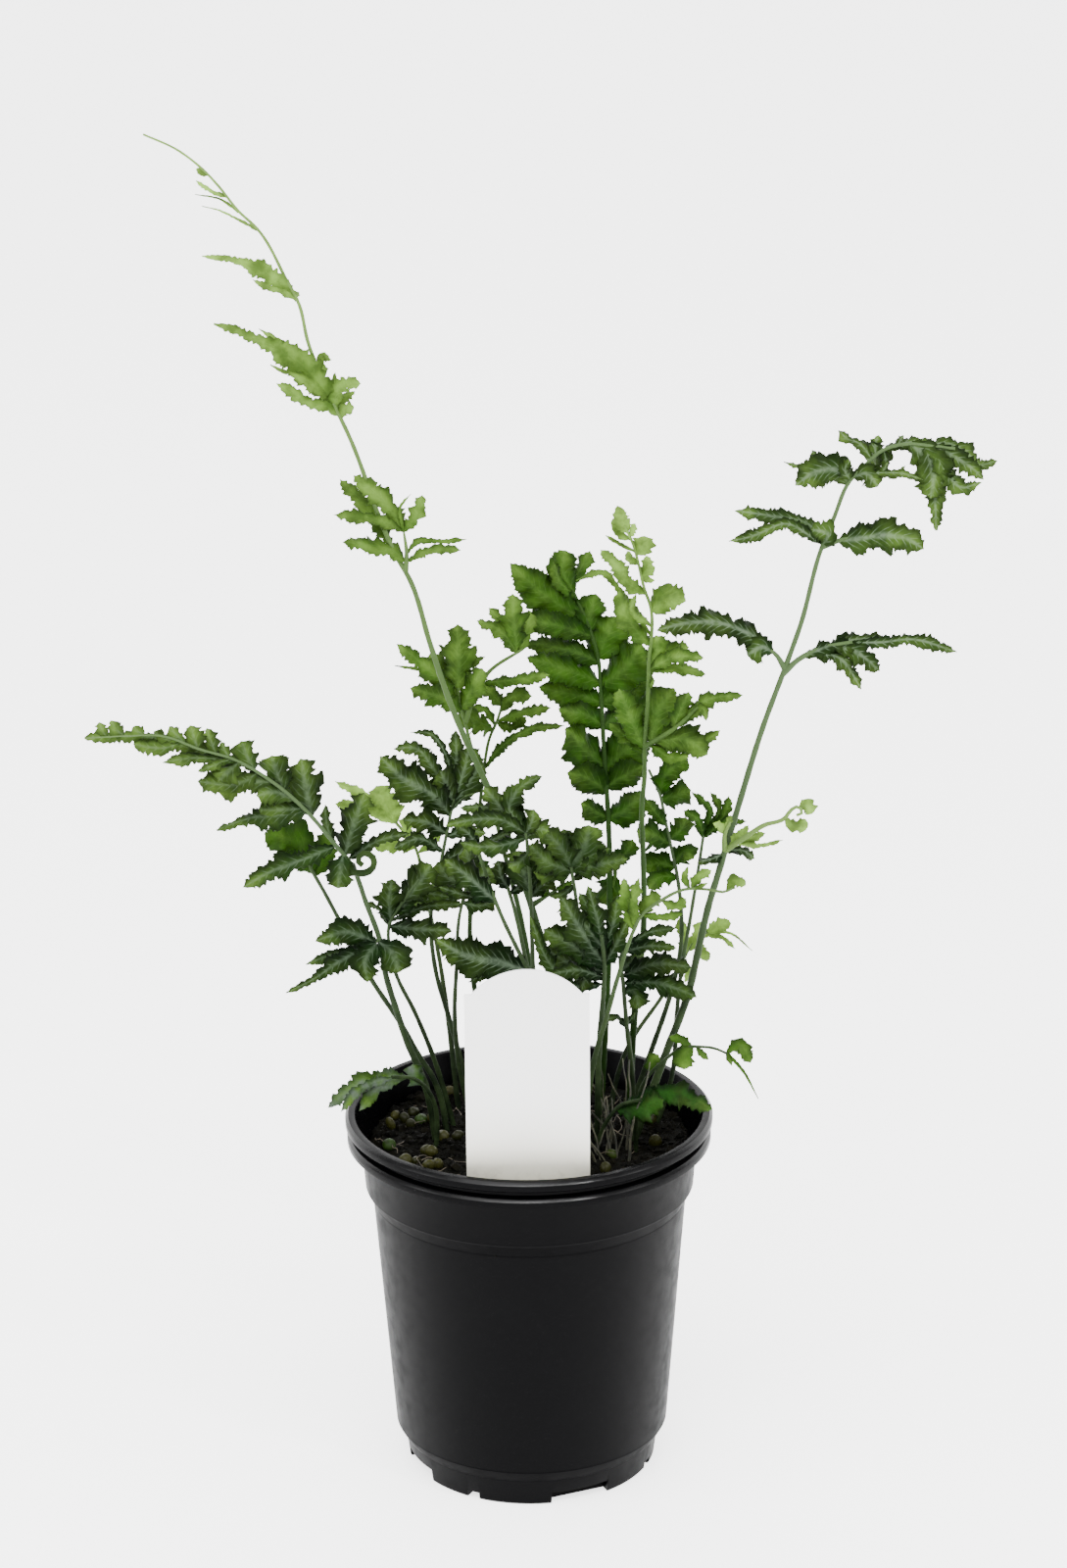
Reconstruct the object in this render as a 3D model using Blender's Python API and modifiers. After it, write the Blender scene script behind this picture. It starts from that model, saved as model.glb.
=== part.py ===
"""Potted brake fern: a black nursery pot with soil, a white plant tag and a crown of lobed fronds.

Sizes and places are in millimetres: x to the right, y to the back, z up, from the middle of the
pot's underside. MM turns them into metres. The fronds are drawn on a front view, and from_view
turns a drawn point and its depth into a place.
"""
import math

import bmesh
import bpy
import numpy
from mathutils import Matrix, Vector
from mathutils.geometry import intersect_point_line

MM = 0.001
GAP = 0.35
SMOOTH_UP_TO = 40.0

# Pot
POT_HEIGHT = 110.0
LIP_RADIUS = 54.0
LIP_WIDTH = 2.8
LIP_ROUND = 0.9
LIP_BOTTOM = 107.0
EDGE_ROUND = 0.5
GROOVE_DEPTH = 3.0
FLANGE_TOP = 104.6
FLANGE_BOTTOM = 101.5
BAND_TOP_RADIUS = 49.4
BAND_BOTTOM = 84.0
BAND_SLOPE = 4.0
BAND_TAPER = 1.0
WALL_TOP_RADIUS = 46.2
FOOT_RADIUS = 36.5
FOOT_STEP = 4.1
FOOT_HEIGHT = 12.0
HEEL_DROP = 3.5
HEEL_STEP = 2.0
FOOT_FLARE = 1.4
FOOT_ROUND = 0.4
WALL = 1.3
FLOOR = 2.0
POT_SEGMENTS = 40
# Drain notches round the foot: (width, height) and where each is cut, in degrees
DRAIN_DEPTH = 9.0
DRAINS = (
    ((18.0, 4.0), (23, 113, 203, 293)),
    ((4.0, 2.2), (-28, 68, 158, 248)),
)

# Soil
SOIL_TOP = 100.5
SOIL_EDGE_RADIUS = 46.8
SOIL_MOUND = 1.2
SOIL_RELIEF = 0.35
SOIL_RINGS = 4
# Waves of the soil: how many go round, and how they turn with the distance from the middle
SOIL_WAVES = ((3.0, 0.15), (5.0, -0.21))
PRILL_RADIUS = 2.0
PRILL_RISE = 0.5
PRILLS = (
    (-40, -9), (-35.5, -8), (-38, -13.5), (-35, -16.5), (-28, -21), (-33, -25), (-37, -20),
    (-41.5, -16), (21, -31), (25, -27), (35.5, -18), (-26.5, -29),
)

# Plant tag
TAG_WIDTH = 35.0
TAG_THICKNESS = 0.7
TAG_SHOULDER = 164.0
TAG_CROWN = 171.5
TAG_LEDGE = 2.0
TAG_STAKE_TOP = 103.0
TAG_STAKE_WIDTH = 12.0
TAG_SHOULDER_RISE = 3.0
TAG_POINT = 10.0
TAG_POINT_HALF = 2.4
TAG_FOOT = 72.0
ARCH_STEPS = 10
TAG_PLACE = (-0.2, -42.3)
TAG_LEAN = 3.0

# The front view that the fronds are drawn on: where the eye is, how far down it looks and how the
# drawing is turned, both in degrees, the drawing's middle and its units for a slope of one
VIEW_PLACE = Vector((2.2, -1065.0, 559.0))
VIEW_PITCH = 18.12
VIEW_ROLL = 0.5
VIEW_MIDDLE = (544.5, 800.0)
VIEW_UNITS = 4000.0

# Fronds. SINK is the step in depth between neighbouring leaf bases, in a cycle of SINK_STEPS;
# SLOPE_SPAN is the share of a rib over which its direction is read; KEPT_FACES is the share of the
# faces that stay once a frond is fused; a group of fewer than SOLID_FACES faces is no solid.
ROOT_HEIGHT = 90.0
BLADE_THICKNESS = 0.9
RIB_SHARE = 0.6
BLADE_BASE = 0.35
BLADE_RUFFLE = 0.14
BLADE_ROLLS = (12, -18, 24, -8, -26, 16)
LIGHT_SIDE = Vector((0.0, -0.88, 0.47)).normalized()
SHORT_LEAF = 13.0
NARROW_LEAF = 4.0
CURVE_STEPS = 12
STALK_SLACK = 0.35
STALK_SIDES = 6
BRANCH_SIDES = 4
BRANCH_SHARE = 0.7
HOLE_GAP = 0.55
HOLE_CLEAR = 3.0
SINK = 0.06
SINK_STEPS = 7
SLOPE_SPAN = 0.05
KEPT_FACES = 0.58
SOLID_FACES = 4

# Each leaf outline: how far along the rib (0 to 1), the half width (1 is half the drawn width) and
# how far the edge is swept towards the tip, as a share of that half width.
OUTLINES = {
    "lobed": ((0.0, 0.12, 0.0), (0.18, 0.94, 0.35), (0.36, 0.7, 0.0), (0.56, 1.18, 0.4),
              (0.7, 0.76, 0.0), (0.86, 0.6, 0.3)),
    "notched": ((0.0, 0.12, 0.0), (0.25, 1.06, 0.35), (0.48, 0.72, 0.0), (0.74, 1.06, 0.35)),
    "oval": ((0.0, 0.12, 0.0), (0.25, 0.85, 0.1), (0.55, 1.18, 0.2), (0.84, 0.85, 0.2)),
    "broad": ((0.0, 0.3, 0.0), (0.2, 1.0, 0.15), (0.6, 1.12, 0.3), (0.88, 0.74, 0.3)),
    "tailed": ((0.0, 0.25, 0.0), (0.2, 0.95, 0.25), (0.46, 1.04, 0.2), (0.63, 0.52, 0.0), (0.86, 0.3, 0.0)),
    "ribbon": ((0.0, 0.3, 0.0), (0.2, 0.9, 0.1), (0.6, 1.0, 0.1), (0.88, 0.85, 0.1)),
    "plain": ((0.0, 0.1, 0.0), (0.35, 0.95, 0.2), (0.72, 0.75, 0.2)),
    "strap": ((0.0, 0.3, 0.0), (0.3, 1.0, 0.2), (0.55, 0.6, 0.0), (0.8, 0.8, 0.2)),
    "thread": ((0.0, 1.0, 0.0), (0.4, 0.8, 0.0), (0.75, 0.5, 0.0)),
}

# Each frond: where its stalk stands, as (x, y) in mm at ROOT_HEIGHT; the radius of the stalk at its
# root and at its tip; its stalks, as points of the front view; and its leaves. A point is written
# across,down and may end in @depth, its distance in mm behind the pot's axis. Points without a
# depth lie between their neighbours. The first stalk rises from the root, and the others start
# from the point of it nearest to their own first one. A leaf names its stalk, its rib, its drawn
# width, its outline and how far its tip turns to the back, in mm.
FRONDS = {
    "frond_tall_left": (
        (13, 10),
        (1.25, 0.3),
        (
            "575,1035 562,990@11 538,911 524,869 496,799@13 477,759 456,708 439,657@14 418,591 "
            "405,568 354,440@17 336,403 314,348 305,310 293,287 263,234@20 242,214 224,191 "
            "206,172 181,153 146,137@22",
            "413,584 415,565 412,542",
            "542,927 560,913 572,906",
        ),
        (
            (1, "412,540 396,516 380,500 361,485", 22, "lobed", 0),
            (1, "411,541 409,516 419,504", 5, "thread", -2),
            (1, "411,540 385,530 341,525", 13, "lobed", -4),
            (1, "413,542 423,528 431,505", 15, "lobed", -3),
            (1, "414,572 400,562 375,556 350,553", 20, "lobed", -6),
            (1, "415,572 440,561 470,561", 12, "lobed", -5),
            (1, "415,565 424,553 450,552 476,550", 8, "strap", 4),
            (0, "399,552 380,525 347,489", 19, "lobed", 8),
            (0, "343,417 332,399 316,380 297,364 278,353 258,344 238,336 218,330", 27, "tailed", -4),
            (0, "326,380 313,363 300,355 283,347 264,335", 8, "strap", 4),
            (0, "337,405 318,391 300,382 288,378 276,372", 15, "tailed", -8),
            (0, "347,424 333,415 318,411 305,405 296,398 282,391", 13, "lobed", -6),
            (0, "330,388 328,372 327,364 338,367", 11, "lobed", 6),
            (0, "343,414 344,402 351,392 368,391", 16, "lobed", -5),
            (0, "346,420 350,408 362,399", 11, "plain", 2),
            (0, "350,428 351,418 361,415", 12, "oval", -2),
            (0, "341,406 341,392 342,380", 8, "plain", 4),
            (0, "303,306 289,291 273,279 256,270 240,265 226,263 206,261", 17, "tailed", -3),
            (0, "303,307 290,298 274,293 258,285", 7, "lobed", -6),
            (0, "302,302 305,298", 6, "plain", 3),
            (0, "262,234 240,222 223,214 206,210", 3.5, "thread", -3),
            (0, "244,216 225,203 199,198", 3.5, "thread", 2),
            (0, "232,200 215,194 200,184", 8, "strap", -1),
            (0, "212,178 200,172", 7, "plain", 0),
            (2, "552,918 560,902", 9, "plain", -3),
            (2, "567,909 576,904 586,899", 8, "plain", -3),
        ),
    ),
    "frond_tall_right": (
        (27, -3),
        (1.3, 0.45),
        (
            "678,1079@-1 704,1008 713,968 723,925 735,885@2 745,851 752,828 779,741@6 803,677 "
            "817,638 839,558@12 851,529 868,490@15 883,475 900,460 925,453@15 950,455 975,458@13",
            "800,683 792,668 782,660",
            "800,688 815,673 840,661@8 870,655@4",
            "840,558 855,552 873,547",
            "742,868 761,854@-2 780,842 801,835@-6 808,826 815,823 819,829 813,832@-7",
            "741,868 740,850@-1 745,838@-2",
        ),
        (
            (1, "790,666 778,660 763,668", 22, "oval", -5),
            (1, "784,661 765,647 735,636 700,636 671,643", 29, "lobed", -9),
            (2, "820,671 850,658 880,652 905,652", 17, "lobed", -4),
            (2, "868,656 900,655 930,652 977,665", 13, "lobed", -8),
            (2, "845,660 872,664 898,684", 19, "lobed", -9),
            (2, "828,666 856,671 879,703", 17, "lobed", -9),
            (0, "840,558 845,545 828,540", 20, "oval", -7),
            (0, "842,553 825,535 790,527 750,521", 17, "lobed", 2),
            (0, "842,555 800,534 770,546 744,552", 12, "lobed", -5),
            (3, "855,553 880,549 905,546 925,549 943,560", 32, "lobed", -7),
            (3, "871,547 895,540 916,528", 16, "plain", 2),
            (0, "867,492 858,481 843,479 828,484 812,495", 28, "broad", -6),
            (0, "866,490 848,477 836,470 829,459", 18, "plain", 4),
            (0, "866,490 845,477 820,477 800,471", 7, "strap", 9),
            (0, "868,490 863,478 868,470", 14, "plain", -6),
            (0, "870,488 884,483 896,496", 18, "oval", -5),
            (0, "888,466 876,452 865,448 856,439", 14, "strap", 2),
            (0, "900,456 893,462 884,468", 26, "oval", 7),
            (0, "893,462 894,452 897,444", 14, "plain", 5),
            (0, "899,457 904,466 903,475", 14, "plain", 3),
            (0, "900,456 925,452 955,452", 15, "lobed", 6),
            (0, "915,453 919,449 922,444", 8, "plain", 5),
            (0, "930,453 947,468 953,490 955,515 956,541", 34, "tailed", -9),
            (0, "945,454 953,490 950,508", 26, "oval", -7),
            (0, "945,454 970,453 986,462 1000,474 1018,470", 18, "lobed", 4),
            (0, "955,456 978,468 995,480 1004,489", 17, "broad", -4),
            (0, "952,455 966,480 980,497 1002,492", 18, "broad", -8),
            (0, "872,484 900,482 922,483 942,489", 7, "lobed", -9),
            (0, "884,476 899,482 906,471", 12, "plain", -5),
            (0, "886,474 915,484 924,475", 8, "plain", -5),
            (0, "901,459 904,470 902,481", 8, "plain", 0),
            (4, "745,866 758,850 764,842", 11, "plain", -2),
            (4, "750,862 766,855 781,850", 12, "plain", 2),
            (4, "752,861 775,863 799,857", 6, "strap", -3),
            (0, "741,870 728,876 712,880", 11, "lobed", -4),
            (0, "742,870 758,868 770,876", 12, "lobed", 5),
            (5, "741,852 735,842 728,840", 9, "plain", -2),
            (5, "742,845 746,832", 7, "plain", -1),
            (4, "801,835 812,842 825,840", 12, "oval", -1),
            (4, "815,825 822,822 829,830", 13, "oval", 1),
        ),
    ),
    "frond_arching_left": (
        (-26, -2),
        (1.25, 0.18),
        (
            "434,1107@-3 414,1059 405,1032 394,996@-8 387,957 375,925 357,880@-16 343,863 312,827 "
            "281,800@-28 236,774 205,765 165,751@-38 130,751 88,753@-44",
            "386,958 384,962@-12",
            "357,885 364,891@-21 375,890 382,882 379,873 370,871 365,878 370,883@-22",
        ),
        (
            (0, "352,873 362,838 372,809", 33, "lobed", 2),
            (0, "317,832 312,802 307,774", 37, "lobed", 2),
            (0, "290,808 282,788 277,771", 32, "lobed", 0),
            (0, "260,789 252,772 246,756", 26, "lobed", 2),
            (0, "233,774 228,764 226,757", 13, "plain", 0),
            (0, "220,769 215,756 211,743", 18, "plain", 0),
            (0, "203,763 197,750 194,740", 22, "plain", 2),
            (0, "188,758 178,748 173,741", 17, "plain", 0),
            (0, "168,754 161,749 157,746", 11, "plain", 1),
            (0, "148,752 140,746 136,741", 14, "plain", 1),
            (0, "125,752 118,744 113,735", 15, "plain", 1),
            (0, "110,752 104,745 101,737", 12, "plain", -1),
            (0, "181,757 150,752 118,751 86,753", 13, "ribbon", 0),
            (0, "245,779 215,768 190,762 168,758", 15, "ribbon", -1),
            (0, "276,797 255,797 230,800 202,797", 25, "lobed", -7),
            (0, "262,790 240,803 222,808", 20, "lobed", -3),
            (0, "245,779 232,788 223,797", 24, "oval", -5),
            (0, "300,817 280,808 262,812", 28, "lobed", -5),
            (0, "308,824 288,826 264,826", 22, "oval", -3),
            (0, "312,828 285,831 255,835 221,847", 28, "tailed", -8),
            (0, "343,864 300,880 270,892 248,905", 22, "lobed", -8),
            (0, "350,872 347,890 345,906", 26, "oval", -5),
            (0, "243,779 215,774 190,774 166,778", 13, "lobed", -6),
            (0, "236,776 215,782 202,787", 12, "plain", -5),
            (0, "185,760 168,763 150,762 136,759", 14, "oval", -3),
            (0, "355,877 385,858 418,850", 14, "lobed", 7),
            (0, "340,860 334,842 332,821", 14, "plain", 5),
            (2, "362,891 376,890 383,881", 6, "strap", 0),
            (2, "383,882 379,872 369,871", 6, "strap", 0),
            (1, "384,962 355,951 322,960", 25, "broad", -5),
            (1, "384,962 345,982 318,1000 292,1013", 19, "tailed", -7),
            (1, "383,963 345,972 312,984", 11, "lobed", 2),
            (1, "383,963 372,982 375,1002", 27, "broad", -9),
            (1, "385,960 400,972 407,992", 30, "oval", -2),
        ),
    ),
    "frond_low_behind_left": (
        (-23, 6),
        (1, 0.5),
        (
            "441,1098@6 428,1078 410,1046 380,1001@5 348,942 328,905@3 318,888 308,872@2",
        ),
        (
            (0, "320,891 303,862 270,850", 42, "lobed", 0),
            (0, "322,893 331,870 333,848", 24, "lobed", 4),
            (0, "318,888 292,876 280,872", 18, "lobed", -7),
        ),
    ),
    "frond_dark_left": (
        (-20, 10),
        (0.95, 0.4),
        (
            "441,1075@9 423,1032 405,996@7 398,970 397,945@5 415,915 428,897@4",
        ),
        (
            (0, "412,919 430,897 440,882", 28, "lobed", -2),
            (0, "399,940 397,918 400,897", 22, "lobed", -5),
            (0, "397,945 385,926 372,921", 6, "strap", 2),
            (0, "402,936 430,912 458,915", 14, "lobed", 2),
            (0, "400,940 430,926 472,922", 9, "lobed", 6),
            (0, "397,945 425,948 461,950", 22, "lobed", -5),
        ),
    ),
    "frond_dark_mid_left": (
        (-14, 12),
        (0.95, 0.4),
        (
            "467,1076@14 464,1032 466,987@17 469,934@20 474,912 479,890@24",
        ),
        (
            (0, "476,903 458,895 446,880", 28, "lobed", -4),
            (0, "475,908 492,895 500,885", 24, "lobed", -5),
            (0, "472,925 447,915 420,924", 12, "lobed", -4),
            (0, "473,922 490,924 507,918", 14, "lobed", 3),
            (0, "479,890 478,876 474,866", 22, "lobed", -2),
            (0, "474,914 458,905 440,902", 14, "lobed", 4),
        ),
    ),
    "frond_over_tag": (
        (-2, -6),
        (0.95, 0.5),
        (
            "539,1020@-8 539,988@-12",
            "539,990@-12 507,923@-13 492,880 485,858@-6",
            "539,992@-12 521,914@-6 517,902@-5",
        ),
        (
            (0, "539,990 510,982 475,975 445,958", 36, "broad", -9),
            (0, "539,990 505,992 478,1002", 10, "lobed", -4),
            (1, "487,864 478,850 466,842", 15, "lobed", -2),
            (1, "506,921 483,899 454,877", 31, "lobed", -3),
            (1, "505,918 476,914 448,905", 12, "lobed", 3),
            (1, "488,866 505,856 522,850", 16, "lobed", -3),
            (1, "496,893 490,905 482,914", 18, "lobed", -4),
            (2, "519,908 511,893 508,878", 18, "lobed", -3),
            (2, "521,912 530,905 537,893", 11, "lobed", 3),
        ),
    ),
    "frond_dark_centre": (
        (4, 4),
        (0.95, 0.5),
        (
            "543,960@-4 541,900@-9 537,850@-14",
        ),
        (
            (0, "537,852 510,836 485,836 455,842", 15, "lobed", -4),
            (0, "538,856 515,862 490,864 470,860", 17, "lobed", -7),
            (0, "537,850 520,822 530,805 553,792", 17, "lobed", 1),
            (0, "537,852 512,825 494,803", 22, "lobed", 4),
            (0, "537,850 505,826 470,824", 14, "lobed", 6),
            (0, "538,852 543,838 545,826", 16, "lobed", -4),
            (0, "537,853 550,845 560,848", 18, "lobed", -6),
            (0, "539,870 530,880 519,885", 16, "lobed", -6),
            (0, "541,912 535,890 529,868", 30, "lobed", -3),
            (0, "541,915 554,902 566,894", 17, "lobed", 2),
            (0, "540,890 552,878 567,868", 16, "lobed", 5),
            (0, "538,854 526,834 512,813", 21, "lobed", 3),
        ),
    ),
    "frond_mid_low": (
        (13.4, 1.4),
        (0.9, 0.5),
        (
            "588,1004@-4 590,936@-8 583,885@-11",
        ),
        (
            (0, "583,887 570,862 554,848", 26, "lobed", -4),
            (0, "583,886 597,862 601,842", 32, "lobed", -2),
            (0, "584,888 608,870 622,866", 16, "lobed", -3),
            (0, "584,888 560,880 540,862", 22, "lobed", -7),
            (0, "584,890 562,892 545,890", 18, "lobed", -4),
            (0, "584,888 578,866 575,846", 26, "lobed", 1),
            (0, "586,896 600,888 618,890", 14, "lobed", 4),
            (0, "584,889 612,882 640,876", 20, "lobed", -7),
            (0, "586,900 574,912 560,914", 8, "plain", -4),
        ),
    ),
    "frond_dark_front": (
        (20, -5),
        (1.1, 0.6),
        (
            "612,1060@-12 616,1010@-17 617,985@-19 614,955@-22",
        ),
        (
            (0, "617,975 610,940 600,904", 15, "lobed", -4),
            (0, "617,985 590,945 572,914", 25, "lobed", -6),
            (0, "617,988 585,965 555,948", 24, "lobed", -3),
            (0, "616,992 580,982 552,966", 22, "lobed", 5),
            (0, "615,962 605,935 591,911", 12, "lobed", 4),
            (0, "616,968 598,945 586,932", 18, "lobed", -1),
            (0, "616,1003 588,1006 563,985 541,934", 13, "lobed", 3),
            (0, "616,998 590,990 562,994", 16, "lobed", -5),
            (0, "617,985 632,958 641,940", 17, "lobed", -3),
            (0, "616,970 627,938 630,914", 14, "lobed", 3),
            (0, "616,1000 600,992 594,1011", 14, "lobed", -2),
        ),
    ),
    "frond_dark_right": (
        (31, 2),
        (1, 0.5),
        (
            "645,1095@1 640,1050@-3 636,1003@-7 634,975@-9 640,964@-10",
        ),
        (
            (0, "638,967 662,952 690,947", 11, "lobed", -3),
            (0, "636,971 665,965 690,967", 13, "lobed", -7),
            (0, "636,995 668,984 706,987", 22, "lobed", -2),
            (0, "636,1003 672,1003 711,1017", 20, "lobed", -6),
            (0, "637,1010 647,1012 653,1029", 20, "lobed", -5),
            (0, "635,990 648,978 657,974", 17, "lobed", 6),
            (0, "641,1050 630,1038 616,1041", 6, "lobed", -2),
            (0, "640,1048 648,1033", 6, "plain", 2),
        ),
    ),
    "frond_broad_centre": (
        (20, 9),
        (1.3, 0.45),
        (
            "620,1000@20 622,940@26 622,872@33 621,839@36 617,775@42 613,705@49 610,668@52 "
            "597,629@56 584,600@58 578,585@59",
            "624,874@33 628,890@31 625,905@30",
        ),
        (
            (0, "596,632 570,617 545,598 521,574", 37, "broad", -1),
            (0, "590,615 565,605 553,585", 13, "lobed", 1),
            (0, "600,650 570,638 545,633 522,630", 24, "broad", -9),
            (0, "607,674 580,662 555,657 533,656", 25, "broad", 5),
            (0, "611,696 585,684 560,677 538,670", 31, "broad", -6),
            (0, "613,718 590,708 570,704 550,700", 29, "broad", 1),
            (0, "615,738 598,729 582,726 570,722", 27, "broad", 1),
            (0, "617,778 600,764 588,752 577,743", 42, "broad", -4),
            (0, "620,808 605,797 592,791 579,788", 30, "broad", -2),
            (0, "622,836 610,829 602,824 593,819", 23, "broad", -3),
            (0, "598,642 602,626 608,605", 29, "broad", 3),
            (0, "606,672 616,652 628,628", 44, "broad", 3),
            (0, "611,700 628,688 645,672 655,656", 42, "broad", -6),
            (0, "613,716 635,704 652,690 666,680", 40, "broad", 2),
            (0, "615,740 635,727 648,714 660,700", 34, "broad", 7),
            (0, "618,785 634,770 646,758 654,746", 44, "broad", 2),
            (0, "620,800 640,790 650,784 657,780", 27, "broad", -1),
            (0, "622,836 638,826 650,815 656,806", 30, "broad", 4),
            (0, "586,604 574,582 577,561", 27, "oval", -3),
            (0, "588,610 570,590 565,573", 16, "lobed", -4),
            (0, "582,597 592,580 602,561", 16, "lobed", 5),
            (1, "625,880 640,868 646,856", 20, "lobed", 3),
            (1, "627,892 622,908 620,924", 30, "lobed", -2),
            (1, "625,882 610,876 600,877", 12, "lobed", -5),
        ),
    ),
    "frond_pale_centre": (
        (29, 8),
        (1.2, 0.35),
        (
            "650,1010@2 656,960@-1 656,860@-7 655,826 658,788 658,762@-13 661,717 663,667@-18 "
            "665,649 664,619 658,602@-22 652,577 647,558 638,537@-27",
            "659,762 690,742@-19 712,722@-23",
        ),
        (
            (0, "641,545 634,530 630,516", 15, "plain", -2),
            (0, "644,552 630,542 624,531", 8, "plain", 2),
            (0, "642,547 648,534", 8, "plain", -3),
            (0, "649,566 655,558 658,547", 18, "oval", -3),
            (0, "648,562 633,555 618,546", 5, "strap", 2),
            (0, "651,575 643,570 641,562", 8, "plain", -4),
            (0, "654,588 661,580 660,567", 14, "plain", -3),
            (0, "654,588 660,591 668,592", 7, "plain", 2),
            (0, "660,606 640,594 630,578 613,561", 14, "lobed", -4),
            (0, "662,657 648,640 637,622 632,603", 22, "lobed", -4),
            (0, "660,648 635,606 614,584 588,592", 9, "strap", 4),
            (0, "662,640 645,622 649,606", 8, "strap", -8),
            (0, "664,622 680,609 700,613", 25, "broad", -5),
            (0, "664,682 688,670 718,671", 15, "lobed", -7),
            (0, "664,685 692,681 720,688", 13, "lobed", 0),
            (0, "664,680 671,662 670,648", 20, "lobed", -1),
            (0, "663,684 684,664 703,660", 18, "lobed", 5),
            (1, "690,742 722,714 758,709", 13, "lobed", -5),
            (1, "665,758 670,728 688,702", 38, "broad", 4),
            (1, "688,743 696,722 703,706", 16, "lobed", -3),
            (1, "700,732 718,724 721,735", 12, "plain", -4),
            (1, "668,757 700,754 722,770", 27, "lobed", -6),
            (1, "668,758 712,760 735,745", 13, "lobed", 3),
            (1, "663,760 682,772 703,772", 14, "lobed", -9),
            (0, "657,764 645,735 632,703", 25, "lobed", -5),
            (0, "657,768 640,752 622,738", 14, "lobed", 3),
            (0, "661,702 668,694", 7, "plain", -3),
        ),
    ),
    "frond_inner_right": (
        (25, 12),
        (1, 0.4),
        (
            "664,1074@17 685,1012@22 694,972@25 690,887@31 684,860 679,837@34 673,809@36 "
            "662,785@38",
        ),
        (
            (0, "674,812 678,792 702,774", 24, "lobed", -3),
            (0, "675,815 690,812 705,806", 25, "lobed", 3),
            (0, "680,842 668,828 659,816", 14, "lobed", -4),
            (0, "684,862 668,852 650,848", 26, "lobed", -6),
            (0, "683,856 695,846 700,834", 20, "lobed", 2),
            (0, "688,880 700,870 708,876", 21, "lobed", -4),
            (0, "689,886 670,880 655,884", 24, "lobed", 4),
            (0, "690,894 672,896 662,907", 17, "lobed", -5),
        ),
    ),
    "frond_grey_right": (
        (34, 9),
        (0.85, 0.45),
        (
            "688,1085@13 690,1045@17 696,985@22 704,940@26 713,885@31 718,852@34",
        ),
        (
            (0, "718,854 712,836 698,827", 11, "lobed", -4),
            (0, "718,852 724,825 706,808", 9, "lobed", 0),
            (0, "718,852 734,824 725,808", 8, "lobed", 4),
            (0, "718,853 740,830 744,812", 10, "lobed", -4),
            (0, "718,854 742,838 762,838", 8, "lobed", -7),
        ),
    ),
    "frond_bright_right": (
        (22, 16),
        (0.9, 0.4),
        (
            "640,1070@26 680,1010@36 697,980@40 707,962@43 722,951@45",
        ),
        (
            (0, "700,975 697,955 693,937", 12, "lobed", -4),
            (0, "702,971 712,955 716,940", 16, "lobed", 3),
            (0, "709,960 717,968 722,981", 10, "lobed", -4),
            (0, "720,952 733,945 746,942", 14, "oval", -3),
            (0, "718,953 738,957 750,968", 6, "strap", 2),
            (0, "714,956 742,951 768,970", 4, "thread", 5),
            (0, "694,985 703,992 699,1002", 9, "plain", -4),
        ),
    ),
    "frond_twin_left": (
        (6, 16),
        (1.15, 0.4),
        (
            "530,930@26 512,860@30 497,800@34 482,765@37 474,735@39 469,719@40 468,702@41",
            "475,737@39 487,704@41 497,688@41 534,662@40",
        ),
        (
            (0, "468,705 468,668 467,637", 29, "lobed", 0),
            (0, "470,724 445,690 405,657", 18, "lobed", -5),
            (0, "471,727 450,712 419,702", 19, "lobed", -8),
            (0, "469,715 452,690 440,665", 24, "lobed", 6),
            (0, "470,722 432,684 403,679", 5, "strap", 9),
            (0, "470,724 482,702 492,682", 24, "lobed", -5),
            (0, "468,706 480,677 495,670", 9, "lobed", 4),
            (1, "528,664 510,643 487,633", 15, "lobed", -4),
            (1, "528,664 513,636 499,620", 14, "lobed", 3),
            (1, "527,665 524,632 523,606", 24, "lobed", -2),
            (1, "529,664 536,645 541,624", 17, "lobed", 4),
            (1, "492,697 530,693 561,688", 12, "lobed", -6),
        ),
    ),
    "frond_branched_back": (
        (-7, 20),
        (1, 0.4),
        (
            "480,930@38 487,870@44 490,820@49 494,785@52 500,752@55 508,734@56 513,717@58",
        ),
        (
            (0, "512,720 502,708 495,699", 16, "lobed", -3),
            (0, "511,726 525,710 543,710", 15, "lobed", -4),
            (0, "508,735 532,727 562,722", 13, "lobed", -5),
            (0, "507,737 522,742 537,731", 12, "lobed", 3),
            (0, "503,745 485,736 467,730", 26, "lobed", -7),
            (0, "506,740 495,724 478,724", 9, "lobed", 3),
            (0, "494,784 512,762 540,745 576,740", 11, "lobed", -6),
            (0, "494,790 487,774 481,763", 13, "lobed", -4),
            (0, "487,876 496,887 508,895", 15, "lobed", -3),
        ),
    ),
    "frond_left_mid": (
        (-15, 18),
        (1, 0.45),
        (
            "466,1066@22 459,1041@24 444,987@28 440,930@31 450,880@34 459,835@37 463,815@39",
        ),
        (
            (0, "460,832 440,810 412,795 388,772", 34, "lobed", -8),
            (0, "462,820 456,802 449,786", 25, "lobed", -3),
            (0, "463,820 478,798 492,780", 26, "lobed", 6),
            (0, "463,816 474,784 478,762", 20, "lobed", 5),
            (0, "463,816 442,784 425,764 402,764", 17, "lobed", 0),
            (0, "463,816 455,770 440,749 419,747", 8, "lobed", 7),
            (0, "463,816 466,776 465,745", 17, "lobed", 10),
            (0, "461,826 475,812 486,809", 5, "strap", -3),
            (0, "455,850 433,838 411,836", 22, "lobed", -4),
            (0, "452,868 428,856 402,866", 15, "lobed", -4),
            (0, "450,882 470,871 492,862", 18, "lobed", -4),
            (0, "455,852 474,848 496,850", 14, "lobed", 3),
        ),
    ),
    "frond_pale_back_left": (
        (-20, 21),
        (0.95, 0.45),
        (
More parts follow.
